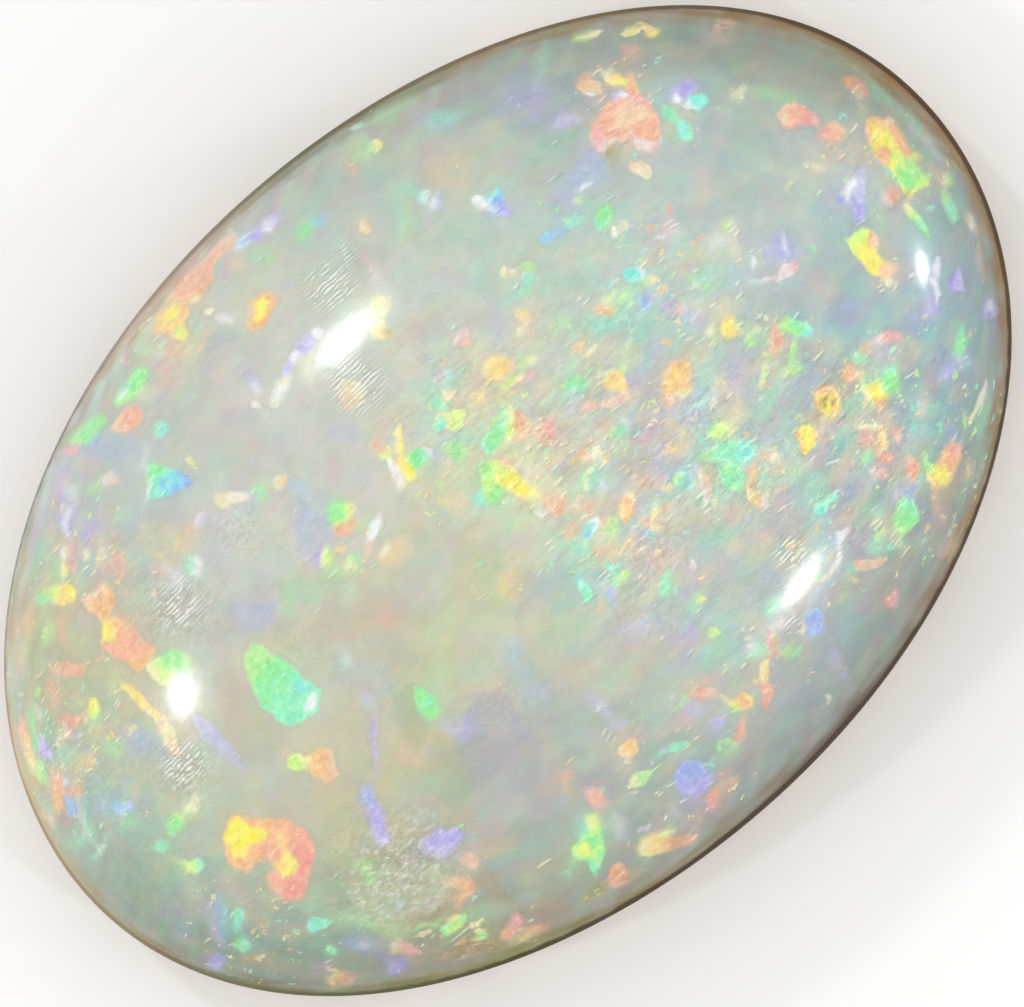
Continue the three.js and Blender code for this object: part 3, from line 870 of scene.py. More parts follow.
    "green knot": (757, 650, 17, 13, -20, "white mint mint", 0.6),
    "cream knot": (750, 641, 17, 4, -55, "cream", 0.7),
    "green mote": (786, 650, 9, 12, 0, "apple", 0.6),
    "lime mote": (713, 633, 13, 10, 10, "apple lime", 0.7),
    "amber root": (765, 671, 9, 22, -5, "butter gold", 0.85),
    "coral root foot": (767, 693, 10, 28, 0, "coral salmon", 0.75),
    "amber kite": ([(733, 702), (744, 692), (754, 696), (751, 706),
        (741, 711)], 20, "gold orange gold", 0.9),
    "lime kite": (731, 703, 26, 5, -42, "butter lime", 0.8),
    "coral mat": ([(692, 694), (702, 687), (713, 688), (715, 696),
        (704, 701)], 0, "salmon coral peach", 0.85),
    "cream tick": (827, 697, 10, 4, -70, "cream", 0.95),
    "lilac scratch": (840, 667, 22, 5, -62, "lilac", 0.5),
    # lower right
    "jade flame": ([(585, 829), (589, 815), (597, 814), (602, 830), (603, 850), (600, 866), (592, 873),
        (588, 858), (577, 860), (571, 851), (578, 840)], 90, "mint green lime green green lime", 1),
    "jade flame light": ([(576, 858), (573, 850), (582, 845), (591, 848),
        (588, 856)], 0, "lime yellow", 0.9),
    "jade flame tip": (592, 821, 12, 16, 10, "butter lime", 0.9),
    "jade flame aqua": (583, 828, 7, 12, 20, "aqua", 0.45),
    "jade flame foot": (597, 864, 5, 22, -15, "green mint", 0.7),
    "jade flame wisp": (571, 866, 18, 4, 65, "mint", 0.5),
    "rose flame": ([(583, 792), (592, 787), (600, 792), (606, 804), (597, 809),
        (588, 800)], -40, "pink salmon pink", 0.85),
    "tan veil": (567, 779, 11, 26, 0, "salmon", 0.4),
    "amber boat": ([(639, 840), (649, 833), (664, 830), (672, 838), (670, 850), (655, 855),
        (641, 857)], 0, "butter gold gold orange", 0.95),
    "lime boat": (667, 832, 12, 8, 30, "lime butter", 0.9),
    "rust boat": ([(670, 841), (685, 836), (698, 831), (698, 839), (685, 846),
        (672, 850)], 15, "rust salmon", 0.7),
    "rust gem": ([(605, 878), (611, 867), (622, 862), (628, 872), (626, 884), (615, 889),
        (607, 886)], 60, "salmon rust orange", 0.9),
    "cream gem": (633, 873, 17, 5, 62, "tan", 0.5),
    "amber comb": ([(619, 751), (625, 738), (636, 738), (638, 750), (630, 758),
        (621, 758)], 80, "peach gold orange", 0.85),
    "cream comb": (627, 763, 8, 5, 20, "cream", 0.8),
    "lime comb": ([(627, 784), (635, 774), (645, 771), (653, 774), (647, 783),
        (636, 787)], 20, "butter apple apple", 0.8),
    "jade comb": (679, 747, 22, 9, 28, "mint teal", 0.8),
    "jade comb tail": (660, 754, 20, 6, 25, "mint", 0.25),
    "blue sail": ([(675, 775), (684, 762), (700, 761), (711, 775), (706, 790), (694, 799),
        (680, 793)], -60, "blue blue violet violet", 0.85),
    "blue sail glint": (696, 803, 10, 5, -55, "lilac", 0.3),
    "white motes": (677, 813, 12, 5, -40, "white", 0.3),
    "coral ember": ([(705, 801), (710, 788), (718, 784), (721, 797), (715, 810),
        (707, 809)], 80, "pink coral orange", 0.9),
    "amber ember": (728, 784, 22, 11, 28, "salmon orange", 0.6),
    "rust thread two": (697, 817, 5, 22, -10, "salmon", 0.45),
    "lilac path": (600, 708, 22, 10, -45, "lilac", 0.55),
    "lilac path two": (618, 723, 14, 8, -20, "lilac", 0.45),
    "lilac path three": (692, 711, 16, 9, 0, "lilac", 0.6),
    "violet gem": (718, 725, 17, 11, 45, "violet lilac violet", 0.75),
    "rose mote": (685, 722, 17, 8, 0, "pink", 0.35),
    "mauve rim": (607, 905, 26, 8, 28, "mauve", 0.6),
    "coral pillar": (741, 729, 11, 24, -8, "coral salmon", 0.7),
    "peach pillar": (733, 742, 12, 9, 0, "peach", 0.65),
    "green veil": (728, 751, 20, 24, 0, "green", 0.25),
    "olive veil": (596, 892, 32, 14, 20, "olive", 0.7),
    "grey motes": (618, 827, 4, 10, 0, "white", 0.5),
}
print("flashes read:", len(flashes))

# The rim, where the clear stone thins out to tan potch. Each side is at an angle, counted clockwise on the
# photograph from its right, with the tone and width of its band, the tone of its edge line (a dark potch tone
# that also stands in as painted shade of the edge) and how light the stone stays beside it under the painted
# shade that darkens it towards the outline.
rimSides = {
    "right": (0, "sienna", 13, "cinder", 0.52),
    "lower right": (32, "peat", 18, "cinder", 0.48),
    "lower": (60, "toffee", 17, "soot", 0.66),
    "bottom": (90, "brass", 17, "moor", 0.56),
    "lower left": (120, "drab", 15, "reedEdge", 0.52),
    "left foot": (150, "almond", 10, "buff", 0.92),
    "left": (180, "pearl", 8, "pewter", 0.89),
    "upper left": (210, "honey", 12, "flint", 0.88),
    "high left": (240, "slatestone", 13, "reedEdge", 0.72),
    "top": (270, "toffee", 18, "walnut", 0.66),
    "top right": (300, "malt", 18, "clove", 0.52),
    "high right": (330, "malt", 17, "clove", 0.55),
}

# How the markings are laid on. Lengths are in picture points unless they say otherwise.
marking = {
    "seed": 6, # of the noise vectors
    "bodyReach": 62, # how far a body tone reaches
    "bodyLevel": (0.863, 0.884, 0.88), # the stone's lightness in this studio's light
    "paneEdge": 4,
    "drift": (26, 14), # length and depth of the unevenness of the panes' edges
    "cells": ((58, 0.12), (24, 0.1)), # sizes and strengths of the small panes
    "cellRagged": 0.5, # how far their edges stray, next to their size
    "cellDraw": (7.31, 977), # what draws the tone of each
    "pastels": ("haze", "sage", "pear", "straw", "rose", "mist", "sea", "shell"),
    "breaths": (("mint", 28, 0.42), ("salmon", 26, 0.36), ("violet", 28, 0.3), ("butter", 24, 0.34),
                ("aqua", 34, 0.34), ("peach", 30, 0.4), ("fog", 22, 0.34)), # tones, lengths and strengths
    "breathStretch": 1.5,
    "breathApart": (17.3, 5.1, 0), # from the noise of one tone to that of the next
    "breathEdge": (0.05, 0.42), # where in its noise a breath begins and is full
    "breathShare": (0.16, 0.8), # everywhere, and more in the pinfire
    "mottle": ((46, 0.036), (20, 0.044), (9, 0.028)), # lengths and strengths of the body's unevenness
    "ragged": ((18, 3.0), (7, 2.4)), # lengths and depths of the unevenness of the flashes' edges
    "swell": ((2, 0.13, 1), (3, 0.1, 2.3), (5, 0.06, 4.1)), # lobes of an oval flash, their depths and turns
    "swellTurn": 1.7, # from one flash to the next
    "toneEnds": (0.08, 0.92), # how far along a flash its first tone ends and its last begins
    "stray": 0.22, # how far the tones of a flash stray into one another
    "glow": 0.14, # how much of its tone a flash gives to the stone beside it, as a painted glow
    "glowReach": 8,
    "softBelow": 0.62, # a flash weaker than this has a soft edge
    "softness": 3.2,
    "flashBlur": 2.0,
    "flashMeet": (1.6, 8), # how softly one flash gives way to the next, and how far out that is looked for
    "farOut": 60.0, # the distance to a flash where there is none
    "edgeLimit": 0.35, # mm
    "facing": (0.05, 0.18), # how far the surface turns to the camera where flashes begin and are full
    "unseen": 0.02,
    "rimShadeReach": 95, # how far in from its outline the painted shade darkens the stone
    "rimShadeWarmth": (1.04, 1.0, 1.32), # the painted shade there is warmer: its power, next to even, in red, green and blue
    "rimShadeWarmReach": (50, 5), # where that begins and is full
    "flashShade": 0.55, # how much of the rim's painted shade the flashes take on
    "streaks": (10, 44, 0.2), # width, length and strength of the rim's streaks
    "streakReach": (68, 10),
    "band": 0.85, # strength of the rim's band
    "bandEdge": (1.5, 0.2), # where it begins and is full, next to its width
    "bandWave": 5, # how far its edge wavers
    "bandVeil": 0.35, # how much of a flash it hides
    "lip": 0.92, # strength of the dark line at the very edge, potch tone darkened as painted shade
    "lipReach": (7, 3.2), # where that line begins and is full beside a band of the usual width
    "lipBeside": 15, # that usual width
    "lipWidth": (0.5, 1.1), # the line's least and most width beside other bands
    "unevenSize": 0.5, # mm
    "layering": 4.5, # how much flatter than wide the potch's layers are
    "layerTint": 0.18, # how much their tones differ
    # potch on the flank and on the back: its tones, how unevenness and layers move them, and their middle
    "potch": (("bark sienna tan sandstone", 0.3, 0.55, 0.5), ("tan sandstone shell oat mist", 0.3, 0.5, 0.6)),
    "potchWave": 0.1, # mm
    "potchTop": (1.3, 0.9), # where potch begins and is full, next to the girdle's height
    "backTurn": (-0.3, -0.9), # how far the surface turns down where the back's tones begin and are full
    "skinTop": (0.8, 1.0), # where the rim's tone begins and is full on the flank, next to the girdle
    "skinTone": 0.6,
    "dullness": {"band": 1.55, "lip": 2, "potch": 0.9},
}

# Where fine markings are thick: places and reach in the photograph, and how thick. The wheel marks are
# painted glints of the polish beside the lamps' reflections, and the squiggles are partly painted sparkle.
zones = {
    "pinfire": [(740, 440, 100, 1.0), (560, 440, 80, 0.9), (640, 320, 80, 0.7), (860, 400, 70, 0.9),
                (470, 420, 50, 0.8), (880, 500, 50, 0.8), (620, 550, 55, 0.8), (730, 640, 45, 0.6),
                (660, 760, 50, 0.4), (800, 560, 50, 0.6), (60, 740, 50, 0.7), (240, 920, 60, 0.4),
                (870, 180, 40, 0.6), (640, 110, 45, 0.4), (160, 330, 40, 0.4), (480, 900, 50, 0.4),
                (90, 570, 50, 0.5), (330, 560, 40, 0.3), (680, 450, 60, 0.9), (820, 450, 50, 0.9)],
    "grain": [(183, 765, 16, 1.0), (178, 610, 24, 0.8), (400, 865, 36, 0.9), (240, 530, 16, 0.7),
              (370, 895, 22, 0.8), (655, 540, 30, 0.8), (500, 700, 24, 0.5), (300, 640, 14, 0.5),
              (560, 440, 60, 0.5), (740, 450, 90, 0.7), (470, 400, 50, 0.6), (620, 360, 60, 0.5),
              (860, 450, 60, 0.7), (130, 870, 60, 0.4), (80, 760, 40, 0.5), (640, 560, 50, 0.6)],
    "wheelMarks": [(178, 604, 21, 0.95), (184, 762, 17, 1.25), (330, 286, 17, 1.5), (356, 384, 19, 1.5),
                   (790, 552, 12, 1.4), (793, 625, 9, 1.0), (345, 255, 12, 0.8)],
    "squiggles": [(184, 774, 18, 0.8), (178, 606, 24, 0.65), (400, 868, 32, 0.9), (236, 528, 15, 0.5),
                  (370, 895, 20, 0.6), (420, 830, 16, 0.6), (655, 545, 22, 0.4), (792, 560, 16, 0.4)],
}


def ovalDistance(across, down, length, width, turn, wobble):
    # distance to the edge of an uneven oval, negative inside, and how far along the oval that is
    u = across * math.cos(turn) - down * math.sin(turn)
    v = across * math.sin(turn) + down * math.cos(turn)
    a, b = length / 2, width / 2
    angle = np.arctan2(v / b, u / a)
    swell = 1
    for lobes, depth, start in marking["swell"]:
        swell = swell + depth * np.cos(lobes * angle + start * wobble)
    u, v = u / swell, v / swell
    k = np.sqrt((u / a) ** 2 + (v / b) ** 2) + 1e-6
    slope = np.sqrt((u / a ** 2) ** 2 + (v / b ** 2) ** 2) + 1e-6
    return k * (k - 1) / slope, u / a


def shardDistance(across, down, corners):
    # distance to the edge of a shard with these corners, negative inside
    nearest = np.full(len(across), 1e9)
    inside = np.ones(len(across))
    for i, (x1, y1) in enumerate(corners):
        x0, y0 = corners[i - 1]
        ex, ey = x1 - x0, y1 - y0
        wx, wy = across - x0, down - y0
        along = np.clip((wx * ex + wy * ey) / (ex * ex + ey * ey), 0, 1)
        nearest = np.minimum(nearest, (wx - ex * along) ** 2 + (wy - ey * along) ** 2)
        above, below = down >= y0, down < y1
        left = ex * wy > ey * wx
        inside = np.where((above & below & left) | (~above & ~below & ~left), -inside, inside)
    return inside * np.sqrt(nearest)


def toneAlong(names, share):
    # the named tones in a row, each place's by its share of the way
    tones = [colourOf(n) for n in names.split()]
    if len(tones) == 1:
        return np.tile(tones[0], (len(share), 1))
    stops = np.linspace(*marking["toneEnds"], len(tones))
    return np.stack([np.interp(share, stops, [t[i] for t in tones]) for i in range(3)], 1)


def mixed(under, share, over):
    # colours laid over others, each by its share
    return under + share[:, None] * (over - under)


def tinted(colours, hue):
    # colours made warmer or cooler, lighter or darker, by three values for each place
    warm, blue, light = hue.T
    return colours * (1 + np.stack([light + warm, light - warm, light + blue], 1))


def noiseVectors(places):
    return np.array([noise.noise_vector(place) for place in places])


def near(across, down, x, y, reach):
    return np.exp(-((across - x) ** 2 + (down - y) ** 2) / (2 * reach ** 2))


def zoneField(name, across, down):
    field = np.zeros(len(across))
    for x, y, reach, amount in zones[name]:
        field = np.maximum(field, amount * near(across, down, x, y, reach))
    return field


def layBody(points, across, down):
    # the milky body: its broad tones, which hold some painted shade, its panes and a fine unevenness of hue
    weight = np.zeros(len(points))
    body = np.zeros((len(points), 3))
    for x, y, tone in bodyTonesAndShade.values():
        share = near(across, down, x, y, marking["bodyReach"]) + 1e-9
        weight += share
        body += share[:, None] * colourOf(tone)
    body /= weight[:, None]
    spots = [Vector(p) for p in points / dot]
    length, depth = marking["drift"]
    drift = noiseVectors(spot / length for spot in spots)
    a, d = across + drift[:, 0] * depth, down + drift[:, 1] * depth
    for corners, tone, strength in panes.values():
        share = smoothStep(marking["paneEdge"], -marking["paneEdge"], shardDistance(a, d, corners))
        body = mixed(body, share * strength, colourOf(tone))
    # small panes all over, each in one of a few pastel tones
    pastels = [colourOf(n) for n in marking["pastels"]]
    spread, turns = marking["cellDraw"]
    for size, strength in marking["cells"]:
        tones = []
        for spot, push in zip(spots, drift):
            cell = noise.voronoi((spot + Vector(push) * size * marking["cellRagged"]) / size)[1][0]
            tones.append(pastels[int(noise.cell(cell * spread) * turns) % len(pastels)])
        body += strength * (np.array(tones) - body)
    # soft breaths of the pinfire's colours
    fire = zoneField("pinfire", across, down)
    everywhere, inPinfire = marking["breathShare"]
    drawn = [Vector((s.x / marking["breathStretch"], s.y, s.z)) for s in spots]
    for number, (tone, length, strength) in enumerate(marking["breaths"]):
        apart = Vector(marking["breathApart"]) * number
        field = np.array([noise.noise(s / length + apart) for s in drawn])
        share = smoothStep(*marking["breathEdge"], field) * strength
        body = mixed(body, share * (everywhere + inPinfire * fire), colourOf(tone))
    for length, strength in marking["mottle"]:
        body = tinted(body, noiseVectors(spot / length for spot in spots) * strength)
    return np.clip(body, 0, 1)


def flashAt(form, tones, number, stray, across, down):
    # a flash's distance from its edge, and its colour, at some places
    if len(form) == 2:
        corners, turn = form
        turn = math.radians(turn)
        gap = shardDistance(across, down, corners)
        x, y = np.array(corners, float).T
        run = across * math.cos(turn) - down * math.sin(turn)
        ends = x * math.cos(turn) - y * math.sin(turn)
        share = (run - ends.min()) / (ends.max() - ends.min())
    else:
        x, y, length, width, turn = form
        wobble = number * marking["swellTurn"]
        gap, share = ovalDistance(across - x, down - y, length, width, math.radians(turn), wobble)
        share = (share + 1) / 2
    return gap, toneAlong(tones, share + stray)


def flashBox(form, margin=26):
    # the part of the photograph that a flash can touch
    if len(form) == 2:
        box = np.array(form[0], float)
        return box.min(0) - margin, box.max(0) + margin
    half = max(form[2:4]) / 2 + margin
    return np.array(form[:2]) - half, np.array(form[:2]) + half


def layFlashes(points, across, down, body):
    # the flashes, on places pushed about a little so that no edge is smooth
    spots = [Vector((x, y, 0)) for x, y in zip(across, down)]
    stray = 0
    for length, depth in marking["ragged"]:
        push = noiseVectors(spot / length for spot in spots)
        stray = stray + push[:, 2] * marking["stray"]
        across = across + push[:, 0] * depth
        down = down + push[:, 1] * depth
    blur = marking["flashBlur"]
    meet, meetReach = marking["flashMeet"]
    edge = np.full(len(points), marking["farOut"])
    tone = np.full((len(points), 3), 0.5)
    power = np.zeros(len(points))
    for number, (*form, tones, strength) in enumerate(flashes.values()):
        soft = marking["softness"] if strength < marking["softBelow"] else 1.0
        low, high = flashBox(form)
        there = (across > low[0]) & (across < high[0]) & (down > low[1]) & (down < high[1])
        there = np.flatnonzero(there)
        gap, colour = flashAt(form, tones, number, stray[there], across[there], down[there])
        # each flash's painted glow on the stone around it
        glow = marking["glow"] * strength * np.exp(-np.maximum(gap, 0) / marking["glowReach"])
        body[there] = mixed(body[there], glow, colour)
        gap = gap / soft
        over = smoothStep(-meet, meet, np.clip(edge[there], 0, meetReach) - gap)
        tone[there] = mixed(tone[there], over, colour)
        raised = power[there] + smoothStep(blur, -blur, gap) * np.maximum(strength - power[there], 0)
        alone = power[there] + over * (strength - power[there])
        power[there] = np.where(edge[there] > blur, alone, raised)
        edge[there] = np.minimum(edge[there], gap)
    return edge, tone, power


def layRim(points, across, down):
    # how far in each place is from the outline, the rim's tones beside it, and how light the painted shade
    # leaves the stone there
    middle = toPhoto(np.array([[0, 0, cut["girdle"]]]))
    x, y = across - middle[0], down - middle[1]
    angle = np.degrees(np.arctan2(y, x)) % 360
    out = np.hypot(x, y)
    furthest = np.zeros(360)
    np.maximum.at(furthest, angle.astype(int) % 360, out)
    outline = np.append(furthest[-1], np.append(furthest, furthest[0]))
    depth = np.interp(angle, np.arange(362) - 0.5, outline) - out
    depth = np.where(points[:, 2] < cut["girdle"], 0, depth)
    sides = sorted(rimSides.values())
    sides.append((360, *sides[0][1:]))

    def along(pick):
        return np.interp(angle, [s[0] for s in sides], [pick(s) for s in sides])

    def tones(place):
        return np.stack([along(lambda s: colourOf(s[place])[i]) for i in range(3)], 1)

    return depth, tones(1), along(lambda s: s[2]), tones(3), along(lambda s: s[4])


def layPotch(points, normal, uneven, layers, edgeToneAndShade):
    # below the girdle the stone is all potch, tan and brown, and paler over the back
    height = (points[:, 2] + uneven * marking["potchWave"] * mm) / cut["girdle"]
    back = smoothStep(cut["bevel"], 0, points[:, 2]) * smoothStep(*marking["backTurn"], normal[:, 2])
    tones = []
    for place, (names, wave, layer, middle) in enumerate(marking["potch"]):
        tones.append(toneAlong(names, uneven * wave + layers[:, place] * layer + middle))
    tone = mixed(tones[0], back, tones[1])
    skin = smoothStep(*marking["skinTop"], height) # potch that the dome's edge shows, in the darkened edge tone that carries the painted shade of the edge on
    return smoothStep(*marking["potchTop"], height), mixed(tone, skin, edgeToneAndShade * marking["skinTone"])


def normalsOf(mesh):
    normals = np.empty(len(mesh.vertices) * 3)
    mesh.vertex_normals.foreach_get("vector", normals)
    return normals.reshape(-1, 3)


def markStone(mesh, points):
    noise.seed_set(marking["seed"])
    across, down = toPhoto(points)
    normal = normalsOf(mesh)
    seen = smoothStep(*marking["facing"], normal @ np.array(cameraAxes()[3]))
    body = layBody(points, across, down)
    edge, tone, power = layFlashes(points, across, down, body)
    depth, band, bandReach, edgeToneAndShade, light = layRim(points, across, down)
    # painted shade darkens the stone, and in part its flashes, towards its outline, and the stone is streaked
    # there
    shade = light + (1 - light) * smoothStep(0, marking["rimShadeReach"], depth)
    warm = smoothStep(*marking["rimShadeWarmReach"], depth)[:, None]
    body *= shade[:, None] ** (1 + (np.array(marking["rimShadeWarmth"]) - 1) * warm)
    tone *= (1 - marking["flashShade"] + marking["flashShade"] * shade)[:, None]
    wide, long, strength = marking["streaks"]
    hue = noiseVectors(Vector((a / wide + d / long, d / long, a / long)) for a, d in zip(across, down))
    body = tinted(body, hue * (smoothStep(*marking["streakReach"], depth) * strength)[:, None])
    # its band and the potch are uneven and layered
    uneven = [noise.fractal(Vector(p) / (marking["unevenSize"] * mm), 1.0, 2.0, 3) for p in points]
    uneven = np.array(uneven)
    layers = noiseVectors(Vector((x, y, z * marking["layering"])) / mm for x, y, z in points)
    band = tinted(band, layers * marking["layerTint"])
    edgeToneAndShade = tinted(edgeToneAndShade, layers * marking["layerTint"])
    begins, full = marking["bandEdge"]
    wave = (uneven + layers[:, 1]) * marking["bandWave"]
    share = smoothStep(bandReach * begins, bandReach * full, depth + wave) * marking["band"]
    body = mixed(body, share, band)
    potch, potchTone = layPotch(points, normal, uneven, layers, edgeToneAndShade)
    body = mixed(body, potch, potchTone)
    # the dark line along the very edge: brown potch tone that also stands in as painted shade
    thickness = np.clip(bandReach / marking["lipBeside"], *marking["lipWidth"])
    lip = smoothStep(*marking["lipReach"], depth / thickness) * (1 - potch) * marking["lip"]
    body = mixed(body, lip, edgeToneAndShade)
    clear = seen * (1 - potch) * (1 - lip) * (1 - share * marking["bandVeil"])
    # the body's tone carries the rim's painted shade and the flashes' painted glow, and the flashes' tone
    # part of that shade
    addValues(mesh, "bodyTone", body * np.array(marking["bodyLevel"]))
    addValues(mesh, "flashTone", tone * np.array(marking["bodyLevel"]))
    limit = marking["edgeLimit"]
    spread = np.clip(edge / photoView["scale"], -limit, limit)
    addValues(mesh, "flashEdge", np.where(seen > marking["unseen"], spread, limit))
    addValues(mesh, "flashPower", power * clear)
    dull = marking["dullness"]
    ground = np.maximum(share * (dull["band"] - light), lip * (dull["lip"] - light))
    addValues(mesh, "ground", np.clip(np.maximum(ground, potch * dull["potch"]), 0, 1))
    for name in zones:
        addValues(mesh, name, zoneField(name, across, down) * clear)


def addValues(mesh, name, values):
    if values.ndim == 2:
        layer = mesh.attributes.new(name, "FLOAT_COLOR", "POINT")
        layer.data.foreach_set("color", np.append(values, np.ones((len(values), 1)), 1).ravel())
    else:
        layer = mesh.attributes.new(name, "FLOAT", "POINT")
        layer.data.foreach_set("value", values)


markStone(stone.data, points)
print("markings laid on")


class Wire:
    # a socket of a shader, so that shader maths reads as arithmetic
    def __init__(self, tree, socket=None):
        self.tree = tree
        self.socket = socket

    def put(self, kind, settings=None, links=None, outlet=0):
        # a new node: its settings first, then what its sockets take
        node = self.tree.nodes.new(kind)
        for name, value in (settings or {}).items():
            if name == "stops":
                self.setStops(node.color_ramp, value)
            else:
                setattr(node, name, value)
        for name, value in (links or {}).items():
            if isinstance(value, Wire):
                self.tree.links.new(value.socket, node.inputs[name])
            else:
                node.inputs[name].default_value = value
        return Wire(self.tree, node.outputs[outlet]) if node.outputs else None

    def outlet(self, name):
        # another outlet of the same node
        return Wire(self.tree, self.socket.node.outputs[name])

    def setStops(self, ramp, stops):
        # a stop's tone is a name of the palette, or a number for a grey
        while len(ramp.elements) < len(stops):
            ramp.elements.new(1)
        for element, (place, tone) in zip(ramp.elements, stops):
            element.position = place
            element.color = (*colourOf(tone), 1) if isinstance(tone, str) else (tone, tone, tone, 1)

    def maths(self, operation, other=0.0, swapped=False):
        first, second = (other, self) if swapped else (self, other)
        return self.put("ShaderNodeMath", {"operation": operation}, {0: first, 1: second})

    def __add__(self, other):
        return self.maths("ADD", other)

    __radd__ = __add__

    def __sub__(self, other):
        return self.maths("SUBTRACT", other)

    def __rsub__(self, other):
        return self.maths("SUBTRACT", other, swapped=True)

    def __mul__(self, other):
        return self.maths("MULTIPLY", other)

    __rmul__ = __mul__

    def ramp(self, low, high, start=0.0, end=1.0):
        return self.put("ShaderNodeMapRange", {"interpolation_type": "SMOOTHSTEP"},
                        {"Value": self, "From Min": low, "From Max": high, "To Min": start, "To Max": end})

    def blend(self, share, other, way="MIX"):
        # the Mix node's colours are its sockets 6 and 7 and its outlet 2
        settings = {"data_type": "RGBA", "blend_type": way}
        return self.put("ShaderNodeMix", settings, {0: share, 6: self, 7: other}, 2)

    def times(self, amount):
        # a colour made lighter or darker by a number or a value
        grey = self.put("ShaderNodeCombineColor", {}, {0: amount, 1: amount, 2: amount})
        return self.blend(1.0, grey, "MULTIPLY")


# The look of the opal. Sizes are in millimetres. A stretch is how much longer than wide a pattern is drawn
# out along the stone, and a push is a stretch and the size, detail and depth of the noise that moves it.
opal = {
    "nearFlash": (0.22, 0.02), # where pinfire begins to thicken beside a flash, and where it is full
    "sparse": 0.03, # how much of it is left elsewhere
    "veil": 0.07, # how much of the flecks' tones lies over all of it
    "flecks": {"size": 0.21, "share": 0.42, "least": 0.0, "strength": 0.5, "turn": 0.0},
    "motes": {"size": 0.11, "share": 0.34, "least": 0.002, "strength": 0.6, "turn": 0.37},
    "fleckPush": (1.7, 0.13, 1.0, 0.22),
    "fleckEdge": (0.66, 0.38),
    "fleckTones": [(0.0, "salmon"), (0.1, "orange"), (0.2, "gold"), (0.3, "cream"), (0.38, "yellow"),
                   (0.48, "lime"), (0.56, "green"), (0.66, "mint"), (0.76, "aqua"), (0.86, "lilac"),
                   (0.93, "pink"), (1.0, "coral")],
    "crumbleSize": 0.13,
    "crumbleDepth": 0.05, # how far it moves a flash's edge
    "needleSize": 0.085,
    "needleStretch": 3.4,
    "needleDepth": 0.07,
    "needleShade": (0.08, 0.5), # their shading, everywhere and in the pinfire
    "edgeSoftness": (0.0252, 0.0864), # of the flashes, least and most
    "softnessSize": 0.9, # from one to the other
    "flashRange": (0.93, 1.02), # how dark and light a flash is in itself
    "flashLight": (1, 0.95, 0.62, 1),
    "flashLightShare": 0.1,
    "lineWidth": 0.03, # of the gap and of the lip
    "gapOut": 0.045, # the gap lies this far outside a flash's edge
    "gapDark": 0.06,
    "lipIn": 0.035, # the lip lies this far inside it
    "lipStrength": (0.08, 0.34), # everywhere, and more in the pinfire
    "lipTone": (1, 0.96, 0.8, 1),
    "dashPush": (2.4, 0.6, 0.0, 0.28),
    "dashSpacing": 0.1,
    "dashLength": 0.2,
    "dashWidth": 0.05,
    "dashShare": 0.32,
    "dashInFlash": 0.5, # how many there are in a flash, next to beside it
    "dashLight": 0.6,
    "dashDark": 0.12,
    "darkAside": 1.6, # how far beside a dash its dark side lies, in half widths
    "dashTones": [(0.0, "peach"), (0.15, "cream"), (0.35, "butter"), (0.5, "apple"), (0.62, "cream"),
                  (0.75, "mint"), (0.88, "white"), (1.0, "blush")],
    "dashReach": 0.2, # how far from a flash a dash takes on its tone
    "dashTint": 0.6, # how much of it
    "dashLift": 1.2, # and how much lighter
    "crackleSize": 0.095,
    "crackleStretch": 1.8,
    "emboss": [(0.0, 0.5), (0.4, 0.52), (0.46, 0.22), (0.5, 0.5), (0.54, 0.86), (0.62, 0.5), (1.0, 0.5)],
    "embossDepth": {"all": 0.06, "grain": 0.4, "flashes": 0.16, "squiggles": 0.25},
    "gritSize": 0.08,
    "gritDark": 0.6, # how much weaker its dark side is
    "gritStretch": 1.9,
    # the grit's light specks and dark side in the squiggles, partly painted sparkle
    "gritShine": 0.42,
    "gritShade": 0.24,
    "wheelSpacing": 0.064,
    "wheelStretch": 1.7,
    "wheelWaver": {"Distortion": 4.2, "Detail": 1.0, "Detail Scale": 1.2, "Detail Roughness": 0.6},
    # the wheel's strokes: their painted highlight and their painted dark lines
    "wheelShine": 0.6,
    "wheelShade": 0.42,
    "wheelDepth": 0.012, # next to the roll of the surface
    # the tone of the painted highlights
    "shineTone": (0.94, 0.97, 0.97, 1),
    "rollSize": 2.2,
    "rollDepth": 0.03,
    "bumpStrength": 0.6,
    "polish": (0.096, 0.144), # roughness, least and most
    "haze": 0.5,
    "hazeRoughness": 0.22,
    "groundRoughness": 0.55,
    "groundGloss": 0.04,
    "bending": 1.45, # how strongly opal bends light
    # how strongly the flashes glow through emission, a painted glow
    "glowStrength": 0.06,
}


